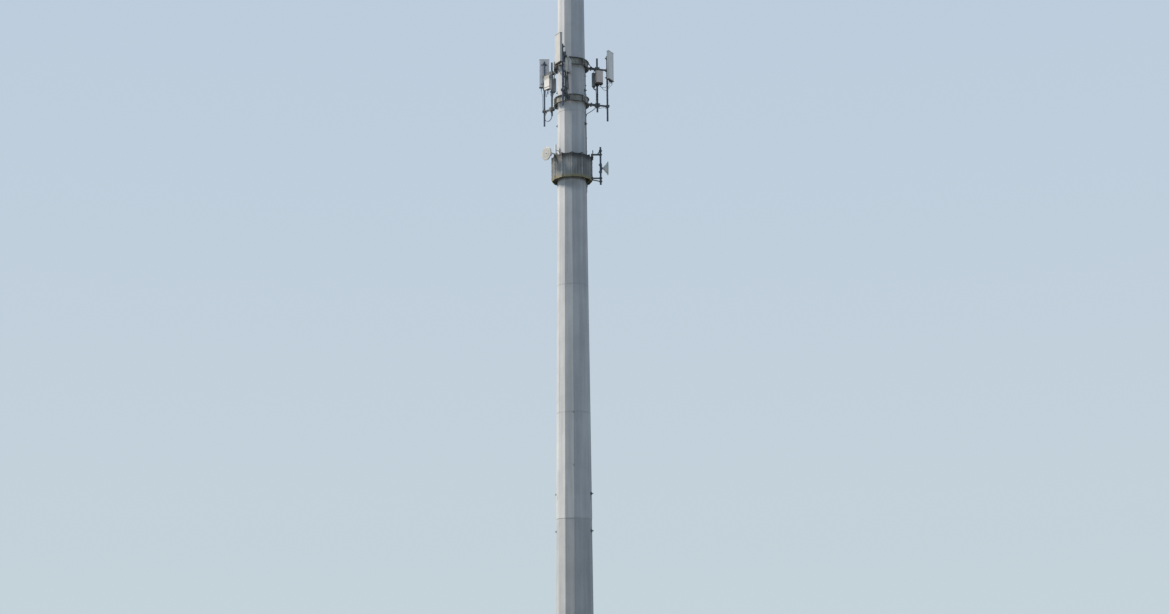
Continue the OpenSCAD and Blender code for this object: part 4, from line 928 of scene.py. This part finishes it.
# Panel antennas: rails up the back, coupling nuts below, screws in the caps and nuts on the brackets
panelFittings = {
    "railSide": 0.07, "rails": ((0.034, 0.006), (0.0153, 0.0096)), "railFoot": 0.05, "railChamfer": 0.0015,
    "backStep": 0.005, "glandRadius": 0.0155, "glandHigh": 0.034, "glandDrop": 0.018, "glandSides": 16,
    "glandSteps": ((1.0, 0.0), (1.0, 0.3), (0.9, 0.34), (0.9, 0.5), (1.0, 0.54), (1.0, 1.0)),
    "glandSpots": (-0.3, -0.1, 0.1, 0.3),       # shares of the panel's width
    "bootRadius": 0.0105, "bootHigh": 0.05, "bootGap": 0.003, "bootEnd": 0.8,
    "screw": (0.0055, 0.85, 0.003, 0.0015), "screwCount": 5, "screwPitch": 0.2, "screwRows": (0.8, 0.25),
    "bracketRise": 0.13, "bracketUp": (0.45, 0.45, 0.24), "tongueSide": 0.0363, "tongueFace": 0.0431,
    "clampHalf": 0.0495, "nutRadius": 0.011, "nutTail": 0.012, "padSide": 0.092, "padFace": 0.0078,
    "padNut": 0.0099,
}


def inPanel(k, x, y, z):
    pipe = tower["antennaPipe"] * away(sectorAzimuth(k))
    return pipe + turnedBy(x, y, z, panelAzimuth(k))


def addPanelFittings(k):
    s, t = panelFittings, tower
    face = t["panelBacks"][k]
    back = face + s["backStep"]
    ahead, aside = away(panelAzimuth(k)), away(panelAzimuth(k) + 90.0)
    foot, high = t["panelFoot"], t["panelHigh"]
    shape = bmesh.new()
    for side, (wide, deep) in product(bothWays, s["rails"]):
        middle = inPanel(k, back - deep / 2 + plateBury, side * s["railSide"], foot + high / 2)
        addBlock(shape, frameAt(middle, ahead), (wide, high - 2 * s["railFoot"], deep), s["railChamfer"])
    finishPiece(sectorNames[k] + "_panel_rails", shape, sectorNames[k] + "Antenna")
    shape = bmesh.new()
    for share in s["glandSpots"]:
        end = inPanel(k, face + t["panelDeep"] / 2, share * t["panelWide"], foot - s["glandDrop"])
        addGland(shape, end, s)
    finishPiece(sectorNames[k] + "_panel_couplings", shape, "blackPlastic")
    shape = bmesh.new()
    for (z, way), i in product(((foot, -1), (foot + high, 1)), range(s["screwCount"])):
        y = (i - (s["screwCount"] - 1) / 2) * t["panelWide"] * s["screwPitch"]
        spot = inPanel(k, face + t["panelDeep"] * s["screwRows"][i % 2], y, z - way * boltBury)
        addScrew(shape, frameAt(spot, (0, 0, way)), s["screw"])
    for z, side in product((foot + s["bracketRise"], t["upperRing"] + s["bracketUp"][k]), bothWays):
        clamp = inPanel(k, clampBury - s["clampHalf"], side * s["tongueSide"], z)
        addBolt(shape, clamp, -ahead, s["nutRadius"], s["nutTail"])
        addBolt(shape, inPanel(k, back - s["padFace"], side * s["padSide"], z), -ahead, s["padNut"])
        tongue = inPanel(k, (s["clampHalf"] + back) / 2, side * s["tongueFace"], z)
        addBolt(shape, tongue, side * aside, s["nutRadius"])
    finishPiece(sectorNames[k] + "_panel_screws", shape, "boltSteel")


# Radio units: cable glands and a guard round them below, a handle on top, a front cover over the fins with
# strips behind its edges, and the screws and clamp nuts
radioFittings = {
    "glandRadius": 0.0155, "glandHigh": 0.03, "glandDrop": 0.010, "glandSides": 12,
    "glandSteps": ((1.0, 0.0), (1.0, 0.4), (0.86, 0.45), (0.86, 1.0)),
    "glandSpots": (-0.25, 0.0, 0.25),           # shares of the unit's width
    "bootRadius": 0.010, "bootHigh": 0.055, "bootGap": 0.004, "bootEnd": 0.8,
    "guardHigh": (0.045, 0.062, 0.045), "guardThick": 0.003, "guardInset": 0.006, "guardLap": 0.002,
    "guardChamfer": 0.0008, "guardFinish": ("blackPlastic", "leftRadio", "frontRadio"),
    "handleHalf": 0.055, "handleHigh": 0.03, "handleBar": 0.0055, "handleLap": 0.002, "handleSteps": 8,
    "handleSides": 10, "coreShare": 0.6,
    "stripWide": 0.012, "stripDeep": 0.006, "stripOut": 0.002, "stripIn": 0.004, "stripShort": 0.03,
    "stripChamfer": 0.0015,
    "coverWide": 0.248, "coverHigh": 0.43, "coverThick": 0.003, "coverLip": 0.03, "coverOut": 0.0012,
    "coverChamfer": 0.001, "coverScrew": (0.005, 0.8, 0.003, 0.001), "coverScrewSide": 0.10416,
    "coverScrewOut": 0.00255, "coverScrewIn": 0.04,
    "endScrew": (0.006, 0.8, 0.004, 0.001), "endScrewSpots": (0.092, 0.368), "endScrewIn": 0.009,
    "clampHalf": 0.0445, "clampSide": 0.030, "clampIn": 0.04, "clampNut": 0.009, "clampTail": 0.01,
}


def addRadioFittings(k):
    s, t = radioFittings, tower
    side, turn = t["radioSides"][k], sectorAzimuth(k)
    aside = (0.0, side, 0.0)
    core = t["radioDeep"] * s["coreShare"]
    middle = side * (t["radioBack"] + core / 2)
    face = side * (t["radioBack"] + t["radioDeep"])
    foot, top = t["radioTop"] - t["radioHigh"], t["radioTop"]
    waist = (foot + top) / 2
    shape = bmesh.new()
    for share in s["glandSpots"]:
        end = turnedBy(radioX(k) + share * t["radioWide"], middle, foot - s["glandDrop"], turn)
        addGland(shape, end, s)
    finishPiece(sectorNames[k] + "_radio_glands", shape, "blackPlastic")
    shape = bmesh.new()
    high, thick, chamfer = s["guardHigh"][k], s["guardThick"], s["guardChamfer"]
    wide, deep = t["radioWide"] - 2 * s["guardInset"], t["radioDeep"] - 2 * s["guardInset"]
    y, z = side * (t["radioBack"] + t["radioDeep"] / 2), foot - high / 2 + s["guardLap"]
    for way in bothWays:
        spot = (radioX(k), y + way * (deep - thick) / 2, z)
        addBlock(shape, turnedFrame(turn, spot, (0.0, 1.0, 0.0)), (wide, high, thick), chamfer)
        spot = (radioX(k) + way * (wide - thick) / 2, y, z)
        addBlock(shape, turnedFrame(turn, spot, outwards), (deep, high, thick), chamfer)
    finishPiece(sectorNames[k] + "_radio_guard", shape, s["guardFinish"][k])
    shape = bmesh.new()
    grip = []
    for j in range(s["handleSteps"] + 1):
        a = math.pi * j / s["handleSteps"]
        grip.append(turnedBy(radioX(k) + s["handleHalf"] * math.cos(a), middle,
                             top - s["handleLap"] + s["handleHigh"] * math.sin(a), turn))
    addSwept(shape, grip, s["handleBar"], s["handleSides"])
    for way in bothWays:
        x = radioX(k) + way * (t["radioWide"] / 2 - s["stripIn"])
        spot = (x, side * (t["radioBack"] + core + s["stripOut"]), waist)
        size = (s["stripWide"], t["radioHigh"] - s["stripShort"], s["stripDeep"])
        addBlock(shape, turnedFrame(turn, spot, aside), size, s["stripChamfer"])
    wide, high, thick, chamfer = s["coverWide"], s["coverHigh"], s["coverThick"], s["coverChamfer"]
    spot = (radioX(k), face + side * s["coverOut"], waist)
    addBlock(shape, turnedFrame(turn, spot, aside), (wide, high, thick), chamfer)
    for way in bothWays:
        spot = (radioX(k) + way * (wide - thick) / 2, face - side * s["coverLip"] / 2, waist)
        addBlock(shape, turnedFrame(turn, spot, aside), (thick, high, s["coverLip"]), chamfer)
    finishPiece(sectorNames[k] + "_radio_cover", shape, sectorNames[k] + "Radio")
    shape = bmesh.new()
    for way in bothWays:
        for z in (foot + s["coverScrewIn"], top - s["coverScrewIn"]):
            spot = (radioX(k) + way * s["coverScrewSide"], face + side * s["coverScrewOut"], z)
            addScrew(shape, turnedFrame(turn, spot, aside), s["coverScrew"])
        for z, share in product((foot + s["endScrewIn"], top - s["endScrewIn"]), s["endScrewSpots"]):
            x = radioX(k) + way * t["radioWide"] * share
            spot = (x, side * (t["radioBack"] + core - boltBury), z)
            addScrew(shape, turnedFrame(turn, spot, aside), s["endScrew"])
        for z in (top - s["clampIn"], foot + s["clampIn"]):
            spot = (t["radioPipe"] + way * s["clampSide"], -side * (s["clampHalf"] - clampBury), z)
            addBoltAt(shape, turn, spot, (0.0, -side, 0.0), s["clampNut"], s["clampTail"])
    finishPiece(sectorNames[k] + "_radio_screws", shape, "boltSteel")


# Power boxes: a lid with two latches and a round cap on top, glands below
powerFittings = {
    "lidHigh": 0.44, "lidWide": 0.096, "lidDeep": 0.007, "lidChamfer": 0.002, "latch": (0.016, 0.034, 0.01),
    "latchSide": 0.038, "latchIn": 0.12, "topCap": (0.040, 0.95, 0.006, 0.002), "topCapSides": 24,
    "glandRadius": 0.0175, "glandHigh": 0.028, "glandDrop": 0.014, "glandSides": 12,
    "glandSteps": ((1.0, 0.0), (1.0, 0.45), (0.85, 0.5), (0.85, 1.0)),
    "glandSpots": (-0.034, 0.0, 0.034),
}


def addPowerFittings(k):
    s, t = powerFittings, tower
    side, turn = t["radioSides"][k], sectorAzimuth(k)
    aside = (0.0, side, 0.0)
    face = t["powerSide"] + side * t["powerWide"] / 2
    top, foot = powerTop(k), powerTop(k) - t["powerHigh"]
    shape = bmesh.new()
    spot = (t["powerX"], face + side * (s["lidDeep"] / 2 - boltBury), (top + foot) / 2)
    size = (s["lidWide"], s["lidHigh"], s["lidDeep"])
    addBlock(shape, turnedFrame(turn, spot, aside), size, s["lidChamfer"])
    out = s["lidDeep"] + s["latch"][2] / 2 - plateBury
    for z in (foot + s["latchIn"], top - s["latchIn"]):
        spot = (t["powerX"] + s["latchSide"], face + side * out, z)
        addBlock(shape, turnedFrame(turn, spot, aside), s["latch"], s["lidChamfer"])
    spot = (t["powerX"], t["powerSide"], top - boltBury)
    addScrew(shape, turnedFrame(turn, spot, upwards), s["topCap"], s["topCapSides"])
    finishPiece(sectorNames[k] + "_power_lid", shape, "powerPaint")
    shape = bmesh.new()
    for x in s["glandSpots"]:
        addGland(shape, turnedBy(t["powerX"] + x, t["powerSide"], foot - s["glandDrop"], turn), s)
    finishPiece(sectorNames[k] + "_power_glands", shape, "blackPlastic")


for number in sectors:
    addPanelFittings(number)
    addRadioFittings(number)
    addPowerFittings(number)
print("antenna, radio and power fittings made")

# Collar: rolled lips along the panels' upper edges, a drip rim below, bolts up the ribs, welded gussets
collarFittings = {
    "lipRadius": 0.0065, "lipSteps": 10, "sheet": 0.008, "cornerGap": 0.001,
    "rimHigh": 0.042, "rimThick": 0.006, "rimLap": 0.002, "rimChamfer": 0.001, "footRadius": 0.006,
    "footRise": 0.003, "beadSides": 8, "boltRadius": 0.0085, "boltRows": 6, "boltInset": 0.055,
    "boltSide": 0.169, "gussetTurns": (-15.0, 75.0, 165.0), "gussetDrops": (0.002, 0.05, 0.1, 0.146),
    "gussetSide": 0.008, "gussetOut": 0.002, "gussetBead": 0.005, "gussetSides": 6,
}


def addCollarFittings():
    s, t = collarFittings, tower
    low, high = t["collarLow"], t["collarLow"] + t["collarHigh"]
    face = t["collarFlat"] - s["sheet"] / 2
    half = (t["collarFlat"] - s["sheet"]) * math.tan(math.radians(flatTurn / 2)) - s["cornerGap"]
    shape = bmesh.new()
    for azimuth in flats:
        points = []
        for j in range(s["lipSteps"] + 1):
            share = 2.0 * j / s["lipSteps"] - 1.0
            dip = t["scallop"] * (1.0 - share ** 2)
            points.append(turnedBy(face, half * share, high - dip, azimuth))
        addSwept(shape, points, s["lipRadius"], s["beadSides"])
    finishPiece("collar_lips", shape, "collarEdge")
    shape = bmesh.new()
    for azimuth in flats:
        spot = (t["collarFlat"] - s["rimThick"] / 2 - plateBury, 0.0, low - s["rimHigh"] / 2 + s["rimLap"])
        size = (2 * half, s["rimHigh"], s["rimThick"])
        addBlock(shape, turnedFrame(azimuth, spot, outwards), size, s["rimChamfer"])
        foot = low - s["rimHigh"] + s["footRise"]
        ends = [turnedBy(face, way * half, foot, azimuth) for way in bothWays]
        addSwept(shape, ends, s["footRadius"], s["beadSides"])
    finishPiece("collar_drip_rim", shape, "collarSheet")
    shape = bmesh.new()
    pitch = (t["collarHigh"] - 2 * s["boltInset"]) / (s["boltRows"] - 1)
    out = t["collarFlat"] + t["ribOut"] - boltBury
    for azimuth, side, row in product(flats, bothWays, range(s["boltRows"])):
        spot = (out, side * s["boltSide"], low + s["boltInset"] + row * pitch)
        addBoltAt(shape, azimuth, spot, outwards, s["boltRadius"])
    finishPiece("collar_bolts", shape, "boltSteel")
    shape = bmesh.new()
    for azimuth, side in product(s["gussetTurns"], bothWays):
        points = [turnedBy(flatAt(low - drop) + s["gussetOut"], side * s["gussetSide"], low - drop, azimuth)
                  for drop in s["gussetDrops"]]
        addSwept(shape, points, s["gussetBead"], s["gussetSides"])
    finishPiece("gusset_welds", shape, "weldBead")


# Dishes: clamp band and clips round the rim, a grey ring and a centre plug on the cover, bolts on the hub
dishFittings = {
    "mouth": 0.175, "sides": 48, "bandOut": 0.0025,
    "band": ((-0.004, -0.003), (0.0025, -0.003), (0.0025, 0.016), (-0.004, 0.018)),  # from rim and mouth
    "clipCount": 8, "clip": (0.03, 0.016, 0.006), "clipAhead": 0.007, "clipChamfer": 0.0015,
    "hubBolt": 0.006, "hubRadius": 0.042, "hubAhead": 0.01, "hubCount": 6,
    "ring": ((0.110, 0.1992), (0.110, 0.20285), (0.150, 0.20195), (0.150, 0.198)),
    "plug": ((0.022, 0.201), (0.022, 0.205), (0.0154, 0.207)), "plugSides": 24,
    "rightHub": (1.0695, 0.0, 18.63), "leftPost": (0.616, 204.0), "leftAzimuth": 222.0, "leftReach": 0.238,
    "leftHeight": 19.01,
}


def spokes(place, count):
    turns = [2 * math.pi * (i + 0.5) / count for i in range(count)]
    return [place.to_3x3() @ Vector((math.cos(a), math.sin(a), 0.0)) for a in turns]


def addDishFittings(name, hub, axis):
    s, r = dishFittings, tower["dishRadius"]
    place = frameAt(hub, axis)
    shape = bmesh.new()
    addTurned(shape, place, [(r + out, s["mouth"] + ahead) for out, ahead in s["band"]], s["sides"])
    for out in spokes(place, s["clipCount"]):
        middle = hub + out * (r + s["bandOut"]) + axis * (s["mouth"] + s["clipAhead"])
        addBlock(shape, frameAt(middle, out, axis), s["clip"], s["clipChamfer"])
    for out in spokes(place, s["hubCount"]):
        addBolt(shape, hub + out * (s["hubRadius"] - clampBury) + axis * s["hubAhead"], out, s["hubBolt"])
    finishPiece(name + "_band", shape, "boltSteel")
    shape = bmesh.new()
    addTurned(shape, place, s["ring"], s["sides"])
    finishPiece(name + "_ring", shape, "dishGrey")
    shape = bmesh.new()
    addKnob(shape, place, s["plug"], s["plugSides"])
    finishPiece(name + "_plug", shape, "blackPlastic")


# Bolts of the right dish's frame and clamps, and of the left dish's bracket
dishMounts = {
    "frameHeights": (19.13, 19.27, 18.27, 18.155), "frameHalf": 0.045, "frameSide": 0.037, "frameTail": 0.01,
    "clampHeights": (18.502, 18.758), "clampHalf": 0.0495, "clampSide": 0.040, "clampTail": 0.014,
    "footHeights": (18.235, 18.30), "footSide": 0.030, "footFace": 0.7296,
    "saddleHeight": 19.06, "saddleSide": 0.028, "saddleBack": 0.6650, "saddleBolt": 0.010,
    "postFace": 0.7446, "postSide": 0.0224, "postHeight": 19.03, "bolt": 0.009,
    "leftHeight": 19.07, "leftHalf": 0.0462, "leftSide": 0.037, "leftTail": 0.012,
    "plateHeights": (19.045, 18.985), "plateFace": 0.0118, "plateSide": 0.034, "plateBolt": 0.008,
}


def addDishMounts():
    s, d = dishMounts, dishFittings
    shape = bmesh.new()
    pipe = tower["dishPipe"]
    for z, side, way in product(s["frameHeights"], bothWays, bothWays):
        spot = (pipe + way * (s["frameHalf"] - clampBury), side * s["frameSide"], z)
        addBolt(shape, spot, (way, 0, 0), s["bolt"], s["frameTail"])
    for z, side in product(s["clampHeights"], bothWays):
        spot = (pipe - s["clampHalf"] + clampBury, side * s["clampSide"], z)
        addBolt(shape, spot, (-1, 0, 0), s["bolt"], s["clampTail"])
    for z, side in product(s["footHeights"], (1, -1)):
        addBolt(shape, (s["footFace"], side * s["footSide"], z), outwards, s["bolt"])
    for side in bothWays:
        spot = (s["saddleBack"], side * s["saddleSide"], s["saddleHeight"])
        addBolt(shape, spot, (-1, 0, 0), s["saddleBolt"])
        addBolt(shape, (s["postFace"], side * s["postSide"], s["postHeight"]), outwards, s["saddleBolt"])
    post, turn = polar(*d["leftPost"], 0.0), d["leftAzimuth"]
    for side in bothWays:
        spot = turnedBy(clampBury - s["leftHalf"], side * s["leftSide"], s["leftHeight"], turn)
        addBolt(shape, post + spot, -away(turn), s["bolt"], s["leftTail"])
        for z in s["plateHeights"]:
            spot = turnedBy(d["leftReach"] - s["plateFace"], side * s["plateSide"], z, turn)
            addBolt(shape, post + spot, -away(turn), s["plateBolt"])
    finishPiece("dish_mount_bolts", shape, "boltSteel")


addCollarFittings()
addDishFittings("right_dish", Vector(dishFittings["rightHub"]), Vector(outwards))
leftWay = away(dishFittings["leftAzimuth"])
leftHub = polar(*dishFittings["leftPost"], dishFittings["leftHeight"]) + leftWay * dishFittings["leftReach"]
addDishFittings("left_dish", leftHub, leftWay)
addDishMounts()
print("collar and dish fittings made")

# Cables: hangers on the feeder run, ties round the pipes and the cables along them
cableFittings = {
    "runFlat": 15.0, "runMiddle": -0.0518,
    "runHeights": (18.0, 18.35, 19.25, 19.75, 20.25, 21.35, 21.7, 22.05),
    "barWide": 0.15, "barThick": 0.006, "barHigh": 0.026, "barChamfer": 0.0015, "cableGap": 0.008,
    "feeder": 0.026, "legIn": 0.006, "legWide": 0.008, "legLap": 0.004, "legChamfer": 0.001,
    "boltRadius": 0.008,
    "strap": 0.0045, "strapFlat": 0.35, "strapSteps": 16, "strapSides": 6,
    "lock": (0.012, 0.012, 0.008), "lockChamfer": 0.0015,
    "feederTie": (-0.016, -0.048, 0.013), "controlTie": (-0.042, 0.012, 0.007),
    "antennaTie": (0.0, 0.042, 0.007), "radioTies": ((21.27, 21.38, 21.46), (21.27, 21.38), ()),
    "antennaTies": ((21.3, 21.45), (), (21.3, 21.45)),
}


almostStraight = 1e-9          # square metres


# Which side of the line from a to b the point c lies on, and how far: above 0 is to the left
def leftOf(a, b, c):
    return (b[0] - a[0]) * (c[1] - a[1]) - (b[1] - a[1]) * (c[0] - a[0])


# Loop that lies round circles of the level plane, given as (x, y, radius), such as a pipe and its cables
def loopRound(circles, steps, out):
    dots = sorted((x + dx, y + dy) for x, y, r in circles for dx, dy in circle(r + out, steps))
    loop = []
    for run in (dots, dots[::-1]):
        half = []
        for dot in run:
            while len(half) > 1 and leftOf(half[-2], half[-1], dot) <= almostStraight:
                half.pop()
            half.append(dot)
        loop += half[:-1]
    return loop


def addCableFittings():
    s, t = cableFittings, tower
    shape = bmesh.new()
    turn, middle = s["runFlat"], s["runMiddle"]
    for z in s["runHeights"]:
        face = flatAt(z)
        out = face + s["cableGap"] + s["feeder"] + s["barThick"] / 2
        size = (s["barWide"], s["barHigh"], s["barThick"])
        addBlock(shape, turnedFrame(turn, (out, middle, z), outwards), size, s["barChamfer"])
        deep = s["cableGap"] + s["feeder"] + s["legLap"]
        for side in bothWays:
            y = middle + side * (s["barWide"] / 2 - s["legIn"])
            size = (s["legWide"], s["barHigh"], deep)
            spot = (face + deep / 2, y, z)
            addBlock(shape, turnedFrame(turn, spot, outwards), size, s["legChamfer"])
            spot = (out + s["barThick"] / 2 - boltBury, y, z)
            addBoltAt(shape, turn, spot, outwards, s["boltRadius"])
    finishPiece("cable_hangers", shape, "boltSteel")
    shape = bmesh.new()
    pipe = (0.0, 0.0, t["pipeRadius"])
    for k, sector in enumerate(sectorNames):
        held = [pipe, s["controlTie"]] + ([s["feederTie"]] if sector == "right" else [])
        ties = [(t["radioPipe"], held, z) for z in s["radioTies"][k]]
        ties += [(t["antennaPipe"], [pipe, s["antennaTie"]], z) for z in s["antennaTies"][k]]
        turn = sectorAzimuth(k)
        for x, circles, z in ties:
            loop = loopRound(circles, s["strapSteps"], s["strap"] * s["strapFlat"])
            points = [turnedBy(x + dx, dy, z, turn) for dx, dy in loop]
            addSwept(shape, points, s["strap"], s["strapSides"], closed=True, flatten=s["strapFlat"])
            spot = (x + max(dx for dx, dy in loop), 0.0, z)
            addBlock(shape, turnedFrame(turn, spot, outwards), s["lock"], s["lockChamfer"])
    finishPiece("cable_ties", shape, "blackPlastic")


# Head: bolts round the cap's skirt and at the foot of the lightning rod
headFittings = {
    "skirtRise": 0.03, "skirtFoot": 0.06, "skirtFace": 0.0079, "skirtBolt": 0.010, "rodCircle": 0.052,
    "rodTurns": (45.0, 135.0, 225.0, 315.0), "rodBolt": 0.007, "rodDisc": 35.020,
}


def addHeadFittings():
    s, top = headFittings, tower["top"]
    shape = bmesh.new()
    reach = flatAt(top - s["skirtFoot"]) + s["skirtFace"]
    for azimuth in flats:
        addBolt(shape, polar(reach, azimuth, top - s["skirtRise"]), away(azimuth), s["skirtBolt"])
    for azimuth in s["rodTurns"]:
        addBolt(shape, polar(s["rodCircle"], azimuth, s["rodDisc"] - boltBury), upwards, s["rodBolt"])
    finishPiece("head_bolts", shape, "boltSteel")


addCableFittings()
addHeadFittings()
print("cable and head fittings made")
